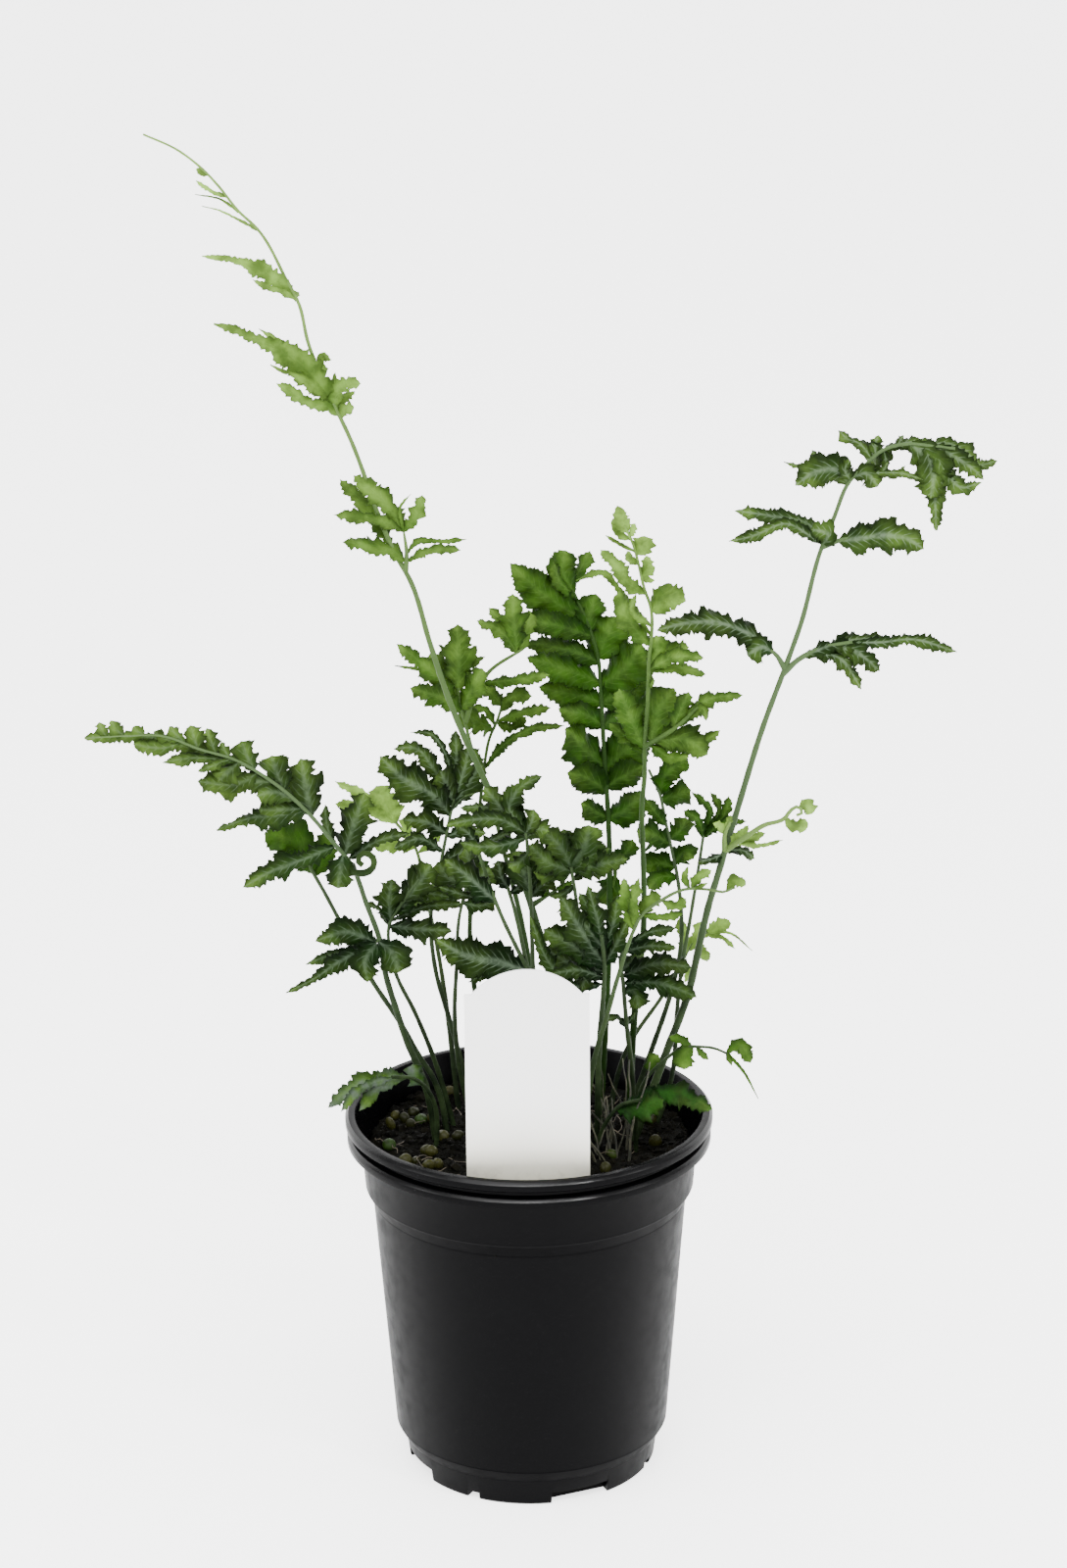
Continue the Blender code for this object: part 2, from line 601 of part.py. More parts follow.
            "445,960@42 432,900@49 424,865@54 403,838@58",
        ),
        (
            (0, "404,840 394,820 384,802", 30, "lobed", -3),
            (0, "403,838 380,815 342,797", 12, "lobed", 4),
            (0, "405,841 372,824 342,820", 14, "lobed", -5),
            (0, "424,866 404,862 381,863", 17, "lobed", -3),
            (0, "420,860 416,848 416,832", 14, "lobed", 3),
            (0, "425,870 438,862 450,850", 9, "lobed", 4),
        ),
    ),
    "crozier_front": (
        (15, -14),
        (1.05, 0.35),
        (
            "607,1079@-19 619,1038@-23 631,996@-27 647,949@-31 654,935 673,920@-34 702,907@-37 "
            "725,908@-38 740,910 748,906@-39",
        ),
        (
            (0, "741,909 750,898 761,903", 12, "oval", -1),
            (0, "646,950 640,920 637,896", 16, "lobed", 2),
            (0, "648,946 647,920 652,896", 13, "lobed", -4),
            (0, "654,935 662,920 675,914", 17, "lobed", 2),
            (0, "655,934 676,936 697,932", 9, "lobed", -4),
            (0, "675,919 689,924 700,917", 11, "lobed", -3),
            (0, "703,907 699,896 702,884", 8, "plain", 1),
            (0, "705,907 714,894 726,888", 11, "lobed", -2),
            (0, "708,907 722,901", 5, "plain", -3),
        ),
    ),
    "frond_low_right": (
        (31, -9),
        (0.75, 0.35),
        (
            "660,1100@-14 683,1078@-19 697,1068@-22 711,1068@-24 730,1070@-27 742,1075@-29",
        ),
        (
            (0, "708,1068 700,1075 698,1091", 18, "oval", -2),
            (0, "706,1067 695,1060 683,1058", 11, "lobed", 2),
            (0, "711,1068 717,1075 723,1081", 8, "plain", -2),
            (0, "741,1074 753,1066 766,1084", 14, "oval", 2),
            (0, "742,1075 757,1091 774,1121", 4, "thread", -3),
            (0, "742,1075 747,1087", 6, "plain", -3),
            (0, "664,1096 665,1084 672,1076", 14, "lobed", 2),
        ),
    ),
    "leaf_over_rim": (
        (-28, -7),
        (0.85, 0.5),
        (
            "440,1118@-9 432,1107@-11 420,1100@-14 400,1099@-19",
        ),
        (
            (0, "416,1100 385,1100 360,1110 335,1130", 19, "lobed", -10),
            (0, "412,1100 385,1112 367,1133", 13, "lobed", -7),
            (0, "404,1099 366,1112 348,1134", 10, "lobed", -17),
            (0, "432,1107 424,1097 421,1086", 20, "lobed", 2),
        ),
    ),
    "leaf_in_pot": (
        (18, -12),
        (0.85, 0.5),
        (
            "622,1140@-15 633,1128@-16 655,1122@-18",
        ),
        (
            (0, "630,1132 652,1130 677,1122", 26, "lobed", -4),
            (0, "646,1124 688,1116 727,1132", 20, "lobed", 3),
        ),
    ),
}


def clear_scene():
    """Remove whatever the file opens with."""
    for thing in list(bpy.data.objects):
        bpy.data.objects.remove(thing, do_unlink=True)


def make_collection(name):
    """A new collection in the scene."""
    group = bpy.data.collections.new(name)
    bpy.context.scene.collection.children.link(group)
    return group


def make_material(name, colour, roughness):
    """A plain Principled material."""
    material = bpy.data.materials.new(name)
    material.use_nodes = True
    shader = material.node_tree.nodes["Principled BSDF"]
    shader.inputs["Base Color"].default_value = (*colour, 1.0)
    shader.inputs["Roughness"].default_value = roughness
    shader.inputs["Metallic"].default_value = 0.0
    return material


def add_object(name, data, group, material=None):
    """Put mesh or curve data in a collection as an object."""
    thing = bpy.data.objects.new(name, data)
    group.objects.link(thing)
    if material is not None:
        data.materials.append(material)
    return thing


def mesh_from(name, points, faces):
    """A mesh from its points and faces."""
    mesh = bpy.data.meshes.new(name)
    mesh.from_pydata([tuple(point) for point in points], [], faces)
    return mesh


def hide_cutter(thing):
    """Show a cutter as wires and keep it out of renders."""
    thing.hide_render = True
    thing.display_type = "WIRE"


def apply_modifiers(thing):
    """Put the evaluated mesh in place of the modifiers."""
    bpy.context.view_layer.update()
    graph = bpy.context.evaluated_depsgraph_get()
    mesh = bpy.data.meshes.new_from_object(thing.evaluated_get(graph))
    thing.modifiers.clear()
    thing.data = mesh


def shade_round(thing):
    """Smooth shading with the real edges kept sharp."""
    thing.data.shade_smooth()
    thing.data.set_sharp_from_angle(angle=math.radians(SMOOTH_UP_TO))


def turned_profile(name, outline, segments, group, material=None):
    """Turn an outline of (radius, height) points round the Z axis."""
    mesh = bpy.data.meshes.new(name)
    points = [Vector((radius, 0.0, height)) * MM for radius, height in outline]
    edges = [(index, index + 1) for index in range(len(points) - 1)]
    mesh.from_pydata([tuple(point) for point in points], edges, [])
    thing = add_object(name, mesh, group, material)
    screw = thing.modifiers.new("Turn", "SCREW")
    screw.axis = "Z"
    screw.angle = math.tau
    screw.steps = segments
    screw.render_steps = segments
    screw.use_merge_vertices = True
    screw.merge_threshold = 0.00001
    return thing


def pot_outer_outline():
    """The pot's outer side from the lip down to the underside."""
    groove = LIP_RADIUS - GROOVE_DEPTH
    heel = FOOT_RADIUS + FOOT_STEP
    return [
        (LIP_RADIUS - LIP_WIDTH, POT_HEIGHT),
        (LIP_RADIUS - LIP_ROUND, POT_HEIGHT),
        (LIP_RADIUS, POT_HEIGHT - LIP_ROUND),
        (LIP_RADIUS, LIP_BOTTOM + EDGE_ROUND),
        (LIP_RADIUS - EDGE_ROUND, LIP_BOTTOM),
        (groove, LIP_BOTTOM - EDGE_ROUND),
        (groove, FLANGE_TOP + EDGE_ROUND),
        (LIP_RADIUS - EDGE_ROUND, FLANGE_TOP),
        (LIP_RADIUS - EDGE_ROUND, FLANGE_BOTTOM + EDGE_ROUND),
        (BAND_TOP_RADIUS, FLANGE_BOTTOM - EDGE_ROUND),
        (BAND_TOP_RADIUS - BAND_TAPER, BAND_BOTTOM + BAND_SLOPE),
        (WALL_TOP_RADIUS, BAND_BOTTOM),
        (heel, FOOT_HEIGHT),
        (heel - HEEL_STEP, FOOT_HEIGHT - HEEL_DROP),
        (FOOT_RADIUS + FOOT_FLARE, FOOT_HEIGHT - HEEL_DROP - EDGE_ROUND),
        (FOOT_RADIUS + FOOT_ROUND, EDGE_ROUND),
        (FOOT_RADIUS, 0.0),
    ]


def pot_inner_outline():
    """The pot's inner side from the floor up to the lip."""
    return [
        (FOOT_RADIUS - WALL, FLOOR),
        (FOOT_RADIUS + FOOT_STEP - WALL, FOOT_HEIGHT),
        (WALL_TOP_RADIUS - WALL, BAND_BOTTOM),
        (BAND_TOP_RADIUS - WALL, FLANGE_BOTTOM + EDGE_ROUND),
        (LIP_RADIUS - LIP_WIDTH - EDGE_ROUND, POT_HEIGHT - LIP_ROUND),
    ]


def box_cutter(name, size, place, turn, group):
    """A box that cuts one drain notch, turned round the pot."""
    bpy.ops.mesh.primitive_cube_add(size=1.0)
    cutter = bpy.context.object
    cutter.name = name
    cutter.data.transform(Matrix.Diagonal((*[length * MM for length in size], 1.0)))
    spin = Matrix.Rotation(math.radians(turn), 4, "Z")
    cutter.data.transform(spin @ Matrix.Translation(Vector(place) * MM))
    for owner in list(cutter.users_collection):
        owner.objects.unlink(cutter)
    group.objects.link(cutter)
    hide_cutter(cutter)
    return cutter


def cut_with(thing, group):
    """Cut a collection's solids out of one object."""
    cut = thing.modifiers.new("Cut", "BOOLEAN")
    cut.operation = "DIFFERENCE"
    cut.operand_type = "COLLECTION"
    cut.collection = group
    cut.solver = "EXACT"


def make_pot(parts, cutters, material):
    """The pot: a turned shell with drain notches round its foot."""
    outer = pot_outer_outline()
    outline = outer + [(0.0, 0.0), (0.0, FLOOR)] + pot_inner_outline() + outer[:1]
    pot = turned_profile("pot", outline, POT_SEGMENTS, parts, material)
    notches = bpy.data.collections.new("drain_notches")
    cutters.children.link(notches)
    reach = FOOT_RADIUS + EDGE_ROUND
    for (width, height), turns in DRAINS:
        for turn in turns:
            size = (width, DRAIN_DEPTH, 2 * height)
            box_cutter("notch", size, (0.0, -reach, 0.0), turn, notches)
    cut_with(pot, notches)
    apply_modifiers(pot)
    shade_round(pot)


def soil_height(radius, angle):
    """A slightly mounded, uneven top."""
    mound = SOIL_MOUND * (1.0 - (radius / SOIL_EDGE_RADIUS) ** 2)
    waves = sum(math.sin(count * angle + turn * radius) for count, turn in SOIL_WAVES)
    return SOIL_TOP + mound + SOIL_RELIEF * waves


def soil_outline():
    """Half a section: the top from the middle out, the side just inside the pot, the underside."""
    top = [(SOIL_EDGE_RADIUS * ring / SOIL_RINGS, SOIL_TOP) for ring in range(SOIL_RINGS + 1)]
    inner = pot_inner_outline()
    side = [(radius - GAP, height) for radius, height in (inner[2], inner[1])]
    return top + side + [(inner[0][0] - GAP, FLOOR + GAP), (0.0, FLOOR + GAP)]


def roughen_top(thing):
    """Mound the flat top and make it uneven."""
    for point in thing.data.vertices:
        if point.co.z > (SOIL_TOP - GAP) * MM:
            radius = math.hypot(point.co.x, point.co.y) / MM
            point.co.z = soil_height(radius, math.atan2(point.co.y, point.co.x)) * MM


def join_with(thing, group, solver="MANIFOLD"):
    """Fuse a collection's solids into one object and remove them."""
    union = thing.modifiers.new("Fuse", "BOOLEAN")
    union.operation = "UNION"
    union.operand_type = "COLLECTION"
    union.collection = group
    union.solver = solver
    apply_modifiers(thing)
    for part in list(group.objects):
        bpy.data.objects.remove(part, do_unlink=True)
    bpy.data.collections.remove(group)


def lighten(thing):
    """Drop the slivers that fusing leaves, which keeps the form."""
    thing.modifiers.new("Triangles", "TRIANGULATE")
    fewer = thing.modifiers.new("Lighten", "DECIMATE")
    fewer.ratio = KEPT_FACES
    apply_modifiers(thing)
    drop_loose_ends(thing.data)


def linked_groups(shape):
    """The groups of faces that hang together."""
    left = set(shape.faces)
    while left:
        group, front = set(), {left.pop()}
        while front:
            face = front.pop()
            group.add(face)
            near = {other for edge in face.edges for other in edge.link_faces} & left
            left -= near
            front |= near
        yield group


def drop_loose_ends(mesh):
    """Remove flat groups of faces, hanging faces, bare edges and bare points."""
    shape = bmesh.new()
    shape.from_mesh(mesh)
    flat = [face for group in linked_groups(shape) if len(group) < SOLID_FACES for face in group]
    bmesh.ops.delete(shape, geom=flat, context="FACES")
    hanging = [face for face in shape.faces if sum(edge.is_boundary for edge in face.edges) > 1]
    bmesh.ops.delete(shape, geom=hanging, context="FACES_ONLY")
    bare_edges = [edge for edge in shape.edges if not edge.link_faces]
    bmesh.ops.delete(shape, geom=bare_edges, context="EDGES")
    bare_points = [point for point in shape.verts if not point.link_edges]
    bmesh.ops.delete(shape, geom=bare_points, context="VERTS")
    shape.to_mesh(mesh)
    shape.free()


def make_prills(group):
    """Slow release prills lying half sunk in the soil."""
    for x, y in PRILLS:
        radius = math.hypot(x, y)
        height = soil_height(radius, math.atan2(y, x)) + PRILL_RISE
        mesh = bpy.data.meshes.new("prill")
        shape = bmesh.new()
        place = Matrix.Translation(Vector((x, y, height)) * MM)
        bmesh.ops.create_icosphere(shape, subdivisions=1, radius=PRILL_RADIUS * MM, matrix=place)
        shape.to_mesh(mesh)
        shape.free()
        add_object("prill", mesh, group)


def make_stalk_holes(group, stalk_routes):
    """A tube a little wider than each stalk, from just under its root to above the soil."""
    for name, route in stalk_routes.items():
        count = 1 + next(place for place, point in enumerate(route) if point.z > SOIL_TOP + HOLE_CLEAR)
        start = route[0] + (route[0] - route[1]).normalized() * GAP
        low = thinned([start] + route[1:count], STALK_SLACK)
        radius = FRONDS[name][1][0] + HOLE_GAP
        hide_cutter(tube("hole", low, (radius, radius), STALK_SIDES, group))


def make_soil(parts, cutters, material, stalk_routes):
    """The soil with its prills, a hole for each stalk and a slot for the tag."""
    soil = turned_profile("soil", soil_outline(), POT_SEGMENTS, parts, material)
    apply_modifiers(soil)
    roughen_top(soil)
    prills = make_collection("prills")
    make_prills(prills)
    join_with(soil, prills)
    holes = bpy.data.collections.new("soil_holes")
    cutters.children.link(holes)
    make_stalk_holes(holes, stalk_routes)
    hide_cutter(place_tag(add_object("slot", tag_mesh("slot", GAP), holes)))
    cut_with(soil, holes)


def tag_outline(margin):
    """An arched top on two small ledges and a narrow stake, counter-clockwise from the foot."""
    half = TAG_WIDTH / 2
    arch_half = half - TAG_LEDGE
    rise = TAG_CROWN - TAG_SHOULDER
    radius = (arch_half ** 2 + rise ** 2) / (2 * rise)
    spread = math.asin(arch_half / radius)
    arch = []
    for step in range(ARCH_STEPS + 1):
        angle = spread * (1 - 2 * step / ARCH_STEPS)
        arch.append((radius * math.sin(angle), TAG_CROWN - radius * (1 - math.cos(angle))))
    stake = TAG_STAKE_WIDTH / 2 + margin
    point = TAG_POINT_HALF + margin
    foot = TAG_FOOT - margin
    right = [(point, foot), (stake, foot + TAG_POINT), (stake, TAG_STAKE_TOP)]
    right += [(half, TAG_STAKE_TOP + TAG_SHOULDER_RISE), (half, TAG_SHOULDER)]
    left = [(-x, z) for x, z in reversed(right)]
    return right + arch + left


def tag_mesh(name, margin):
    """The outline as a filled 2D curve with a thickness."""
    curve = bpy.data.curves.new(name, "CURVE")
    curve.dimensions = "2D"
    curve.fill_mode = "BOTH"
    curve.extrude = (TAG_THICKNESS / 2 + margin) * MM
    points = tag_outline(margin)
    spline = curve.splines.new("POLY")
    spline.points.add(len(points) - 1)
    for spot, (x, z) in zip(spline.points, points):
        spot.co = (x * MM, z * MM, 0.0, 1.0)
    spline.use_cyclic_u = True
    return mesh_from_curve(curve)


def mesh_from_curve(curve):
    """Turn a curve into a welded mesh."""
    holder = bpy.data.objects.new("route", curve)
    bpy.context.scene.collection.objects.link(holder)
    bpy.context.view_layer.update()
    graph = bpy.context.evaluated_depsgraph_get()
    mesh = bpy.data.meshes.new_from_object(holder.evaluated_get(graph))
    bpy.data.objects.remove(holder, do_unlink=True)
    shape = bmesh.new()
    shape.from_mesh(mesh)
    bmesh.ops.remove_doubles(shape, verts=shape.verts, dist=0.000001)
    bmesh.ops.recalc_face_normals(shape, faces=shape.faces)
    shape.to_mesh(mesh)
    shape.free()
    return mesh


def place_tag(thing):
    """Stand the tag up behind the front of the rim, its top leaning a little forward."""
    x, y = TAG_PLACE
    upright = Matrix.Rotation(math.radians(90 + TAG_LEAN), 4, "X")
    pivot = Vector((0.0, SOIL_TOP, 0.0)) * MM
    place = Matrix.Translation(Vector((x, y, SOIL_TOP)) * MM)
    thing.data.transform(place @ upright @ Matrix.Translation(-pivot))
    return thing


def view_axes():
    """The directions to the right, up and away in the front view."""
    pitch, roll = math.radians(VIEW_PITCH), math.radians(VIEW_ROLL)
    right = Vector((1.0, 0.0, 0.0))
    up = Vector((0.0, math.sin(pitch), math.cos(pitch)))
    away = Vector((0.0, math.cos(pitch), -math.sin(pitch)))
    return right * math.cos(roll) - up * math.sin(roll), right * math.sin(roll) + up * math.cos(roll), away


VIEW_RIGHT, VIEW_UP, VIEW_AWAY = view_axes()


def from_view(across, down, depth):
    """The place of a drawn point that lies at a depth behind the pot's axis."""
    aside = VIEW_RIGHT * (across - VIEW_MIDDLE[0]) + VIEW_UP * (VIEW_MIDDLE[1] - down)
    ray = VIEW_AWAY + aside / VIEW_UNITS
    return VIEW_PLACE + ray * ((depth - VIEW_PLACE.y) / ray.y)


def unit_at(place):
    """The size in mm of one unit of the drawing at a place."""
    return (place - VIEW_PLACE).dot(VIEW_AWAY) / VIEW_UNITS


def to_view(place):
    """Where a place shows in the drawing."""
    sight = (place - VIEW_PLACE) / unit_at(place)
    return Vector((VIEW_MIDDLE[0] + sight.dot(VIEW_RIGHT), VIEW_MIDDLE[1] - sight.dot(VIEW_UP)))


def read_points(text):
    """The drawn points in a text, and for each its depth, or None where none is given."""
    spots, depths = [], []
    for word in text.split():
        drawn, mark, depth = word.partition("@")
        spots.append(Vector([float(number) for number in drawn.split(",")]))
        depths.append(float(depth) if mark else None)
    return spots, depths


def distances(points):
    """How far along their route each of some points lies."""
    run = [0.0]
    for before, after in zip(points, points[1:]):
        run.append(run[-1] + (after - before).length)
    return run


def nearest_point(route, spot):
    """The point of a route that shows nearest to a drawn point."""
    return min(route, key=lambda place: (to_view(place) - spot).length)


def stalk_route(start, spots, depths):
    """A smooth stalk from a place through drawn points, with the missing depths filled in."""
    spots = [to_view(start)] + spots
    depths = [start.y] + depths
    run = distances(spots)
    known = [index for index, depth in enumerate(depths) if depth is not None]
    filled = numpy.interp(run, [run[index] for index in known], [depths[index] for index in known])
    places = [from_view(spot.x, spot.y, depth) for spot, depth in zip(spots[1:], filled[1:])]
    return smooth_route([start] + places)


def leaf_route(stalk, text, turn, shift):
    """A smooth rib from the nearest point of its stalk, its tip turned to the back."""
    spots, depths = read_points(text)
    base = nearest_point(stalk, spots[0])
    run = distances(spots)
    places = [from_view(spot.x, spot.y, base.y + turn * far / run[-1]) for spot, far in zip(spots, run)]
    return smooth_route([base + LIGHT_SIDE * shift] + places[1:])


def route_slopes(points):
    """The direction of a smooth curve at each of its points."""
    steps = [after - before for before, after in zip(points, points[1:])]
    slopes = [steps[0].normalized()]
    for before, after in zip(steps, steps[1:]):
        weight = before.length / (before.length + after.length)
        slopes.append(before.normalized().lerp(after.normalized(), weight))
    return slopes + [steps[-1].normalized()]


def smooth_route(points):
    """Closely spaced points along a smooth curve through the given ones."""
    slopes = route_slopes(points)
    fine = []
    for index, (start, end) in enumerate(zip(points, points[1:])):
        length = (end - start).length
        for step in range(CURVE_STEPS):
            t = step / CURVE_STEPS
            ease = 3 * t * t - 2 * t ** 3
            bend = slopes[index] * (t ** 3 - 2 * t * t + t) + slopes[index + 1] * (t ** 3 - t * t)
            fine.append(start.lerp(end, ease) + bend * length)
    return fine + [points[-1]]


def thinned(route, slack):
    """Leave out the points that a straight run passes within the slack."""
    start, end = route[0], route[-1]
    misses = [(point - intersect_point_line(point, start, end)[0]).length for point in route]
    far = misses.index(max(misses))
    if misses[far] <= slack or far in (0, len(route) - 1):
        return [start, end]
    return thinned(route[:far + 1], slack)[:-1] + thinned(route[far:], slack)


def point_along(route, share):
    """The point at a share of a route's length."""
    run = distances(route)
    left = share * run[-1]
    for index, (start, end) in enumerate(zip(route, route[1:])):
        if left <= run[index + 1]:
            return start.lerp(end, (left - run[index]) / max(run[index + 1] - run[index], GAP * MM))
    return route[-1].copy()


def tube(name, route, radii, sides, group):
    """A tube with a few sides along a route, its radius changing evenly, with closed ends."""
    curve = bpy.data.curves.new(name, "CURVE")
    curve.dimensions = "3D"
    curve.bevel_depth = MM
    curve.bevel_resolution = sides // 2 - 2
    curve.use_fill_caps = True
    spline = curve.splines.new("POLY")
    spline.points.add(len(route) - 1)
    run = distances(route)
    for spot, point, far in zip(spline.points, route, run):
        spot.co = (*(point * MM), 1.0)
        spot.radius = radii[0] + (radii[1] - radii[0]) * far / run[-1]
    return add_object(name, mesh_from_curve(curve), group)


def blade_section(point, along, roll, half_width, sweep, lift):
    """Three points across a blade: its two edges and the raised rib between them."""
    side = along.cross(LIGHT_SIDE).normalized()
    side = Matrix.Rotation(math.radians(roll), 3, along) @ side
    normal = side.cross(along).normalized()
    ahead = along * sweep * half_width
    wave = normal * lift * half_width
    low = normal * BLADE_THICKNESS * (RIB_SHARE - 1.0)
    return [
        point + side * half_width + ahead + wave + low,
        point + normal * BLADE_THICKNESS * RIB_SHARE,
        point - side * half_width + ahead + wave + low,
    ]


def blade_mesh(route, width, shape, roll):
    """A thin closed blade with a cut edge, arched and ruffled along its rib."""
    points = []
    half = width / 2 / math.cos(math.radians(roll))
    for index, (share, reach, sweep) in enumerate(OUTLINES[shape]):
        here = point_along(route, share)
        before, after = max(share - SLOPE_SPAN, 0.0), min(share + SLOPE_SPAN, 1.0)
        ahead = point_along(route, after) - point_along(route, before)
        lift = BLADE_RUFFLE * (-1) ** index if index else 0.0
        reach = max(half * reach, BLADE_BASE)
        points += blade_section(here, ahead.normalized(), roll, reach, sweep, lift)
    points.append(route[-1])
    tip = len(points) - 1
    faces = [(0, 1, 2)]
    for start in range(0, tip - 3, 3):
        left, rib, right = start, start + 1, start + 2
        faces += [(left, rib + 3, rib), (left, left + 3, rib + 3)]
        faces += [(right, rib, rib + 3), (right, rib + 3, right + 3)]
        faces += [(left, right, right + 3), (left, right + 3, left + 3)]
    faces += [(tip - 3, tip, tip - 2), (tip - 1, tip - 2, tip), (tip - 3, tip - 1, tip)]
    return mesh_from("blade", [point * MM for point in points], faces)


def make_stalks(name, parts, pieces):
    """The main stalk as the frond's own object, its branches as pieces. Returns their routes."""
    (x, y), (thick, thin), stalks, leaves = FRONDS[name]
    root = Vector((x, y, ROOT_HEIGHT))
    routes = [stalk_route(root, *read_points(stalks[0]))]
    tube(name, thinned(routes[0], STALK_SLACK), (thick, thin), STALK_SIDES, parts)
    for text in stalks[1:]:
        spots, depths = read_points(text)
        start = nearest_point(routes[0], spots[0])
        routes.append(stalk_route(start, spots[1:], depths[1:]))
        radii = (BRANCH_SHARE * thick, thin)
        tube("branch", thinned(routes[-1], STALK_SLACK), radii, BRANCH_SIDES, pieces)
    return routes


def make_leaves(name, routes, pieces):
    """Every leaf of a frond as a blade in the collection of pieces, its base sunk into its stalk."""
    for index, (stalk, text, width, shape, turn) in enumerate(FRONDS[name][3]):
        route = leaf_route(routes[stalk], text, turn, SINK * (index % SINK_STEPS))
        width = width * unit_at(route[0])
        if shape == "lobed" and (distances(route)[-1] < SHORT_LEAF or width < NARROW_LEAF):
            shape = "notched"
        roll = BLADE_ROLLS[index % len(BLADE_ROLLS)]
        add_object("blade", blade_mesh(route, width, shape, roll), pieces)


def make_frond(name, parts, material):
    """One frond: its stalks and leaves fused into one solid. Returns its main route."""
    pieces = make_collection(name + "_pieces")
    routes = make_stalks(name, parts, pieces)
    make_leaves(name, routes, pieces)
    frond = parts.objects[name]
    join_with(frond, pieces)
    lighten(frond)
    shade_round(frond)
    frond.data.materials.clear()
    frond.data.materials.append(material)
    return routes[0]


def main():
    """Build every piece."""
    clear_scene()
    parts = make_collection("potted_brake_fern")
    cutters = make_collection("cutters")
    black = make_material("black_plastic", (0.012, 0.012, 0.014), 0.42)
    white = make_material("white_plastic", (0.86, 0.86, 0.83), 0.4)
    earth = make_material("potting_soil", (0.012, 0.009, 0.007), 0.95)
    green = make_material("frond_green", (0.05, 0.16, 0.02), 0.5)
    make_pot(parts, cutters, black)
    place_tag(add_object("tag", tag_mesh("tag", 0.0), parts, white))
    stalk_routes = {name: make_frond(name, parts, green) for name in FRONDS}
    make_soil(parts, cutters, earth, stalk_routes)


main()
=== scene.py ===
"""Potted brake fern: the look of the black nursery pot, the soil, the blank plant tag and the fronds.

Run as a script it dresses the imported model; each operator makes one piece or one group of pieces.
Sizes in the tables are in millimetres, and MM turns them into metres.
"""
import math
import random

import bmesh
import bpy
import numpy
from mathutils import Matrix, Vector, noise


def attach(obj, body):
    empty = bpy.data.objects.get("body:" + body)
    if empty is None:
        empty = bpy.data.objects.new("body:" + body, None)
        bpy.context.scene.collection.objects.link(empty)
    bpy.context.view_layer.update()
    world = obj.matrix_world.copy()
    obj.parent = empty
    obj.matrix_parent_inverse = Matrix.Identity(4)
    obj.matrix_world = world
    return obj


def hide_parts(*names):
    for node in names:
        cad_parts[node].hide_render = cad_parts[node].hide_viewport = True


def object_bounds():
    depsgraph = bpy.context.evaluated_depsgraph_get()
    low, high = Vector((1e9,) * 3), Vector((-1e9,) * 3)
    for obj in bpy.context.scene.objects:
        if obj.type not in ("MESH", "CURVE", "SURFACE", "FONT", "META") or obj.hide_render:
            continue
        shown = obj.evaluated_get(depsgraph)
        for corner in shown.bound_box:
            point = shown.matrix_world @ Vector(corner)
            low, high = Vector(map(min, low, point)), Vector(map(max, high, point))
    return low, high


bl_info = {
    "name": "Potted brake fern",
    "version": (1, 0, 0),
    "blender": (4, 5, 0),
    "location": "3D View > Sidebar > Fern",
    "description": "Dresses a potted brake fern: pot, soil, tag and fronds",
    "category": "Object",
}

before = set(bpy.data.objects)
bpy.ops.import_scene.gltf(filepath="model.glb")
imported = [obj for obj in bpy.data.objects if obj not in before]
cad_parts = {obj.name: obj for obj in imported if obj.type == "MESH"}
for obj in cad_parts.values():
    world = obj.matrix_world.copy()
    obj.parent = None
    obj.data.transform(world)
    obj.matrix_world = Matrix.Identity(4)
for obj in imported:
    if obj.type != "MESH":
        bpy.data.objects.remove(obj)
CAD_BOX = [list(corner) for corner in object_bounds()]

MM = 0.001

# How near to each other points lie that are merged, in metres
MERGE_GAP = 0.00001

# The largest angle of a random turn, in radians
FULL_TURN = 6.3

# Pot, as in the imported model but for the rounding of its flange
POT_HEIGHT = 110.0
LIP_RADIUS = 54.0
LIP_WIDTH = 2.8
LIP_ROUND = 0.9
LIP_BOTTOM = 107.0
EDGE_ROUND = 0.5
GROOVE_DEPTH = 3.0
FLANGE_TOP = 104.6
FLANGE_BOTTOM = 101.5
FLANGE_ROUND = 0.8
BAND_TOP_RADIUS = 49.4
BAND_BOTTOM = 84.0
BAND_SLOPE = 4.0
BAND_TAPER = 1.0
WALL_TOP_RADIUS = 46.2
FOOT_RADIUS = 36.5
FOOT_STEP = 4.1
FOOT_HEIGHT = 12.0
HEEL_DROP = 3.5
HEEL_STEP = 2.0
FOOT_FLARE = 1.4
FOOT_ROUND = 0.4
WALL = 1.3
FLOOR = 2.0
GAP = 0.35
POT_STEPS = 144
DRAIN_DEPTH = 9.0
DRAINS = (
    ((18.0, 4.0), (23, 113, 203, 293)),
    ((4.0, 2.2), (-28, 68, 158, 248)),
)

# The pot's gloss, with its places in metres: a bright line along the band's lower edge, dull slopes under
# it and over the foot, and the lip and flange, whose gloss sets in between two heights and two radii
EDGE_LINE = (BAND_BOTTOM + BAND_SLOPE) * MM
LINE_BLUR = 0.0005
MATT_SLOPES = ((BAND_BOTTOM * MM, EDGE_LINE), ((FOOT_HEIGHT - HEEL_DROP) * MM, FOOT_HEIGHT * MM))
SLOPE_BLUR = 0.0008
RIM_HEIGHTS = (0.0995, 0.1015)
RIM_RADII = (0.0518, 0.0524)

# How much less rough the lip and flange are, the wall's specular level and what the others add to it
RIM_POLISH = 0.16
WALL_SHINE = 0.027
SLOPE_SHINE = -0.014
LINE_SHINE = 0.018
RIM_SHINE = 0.1

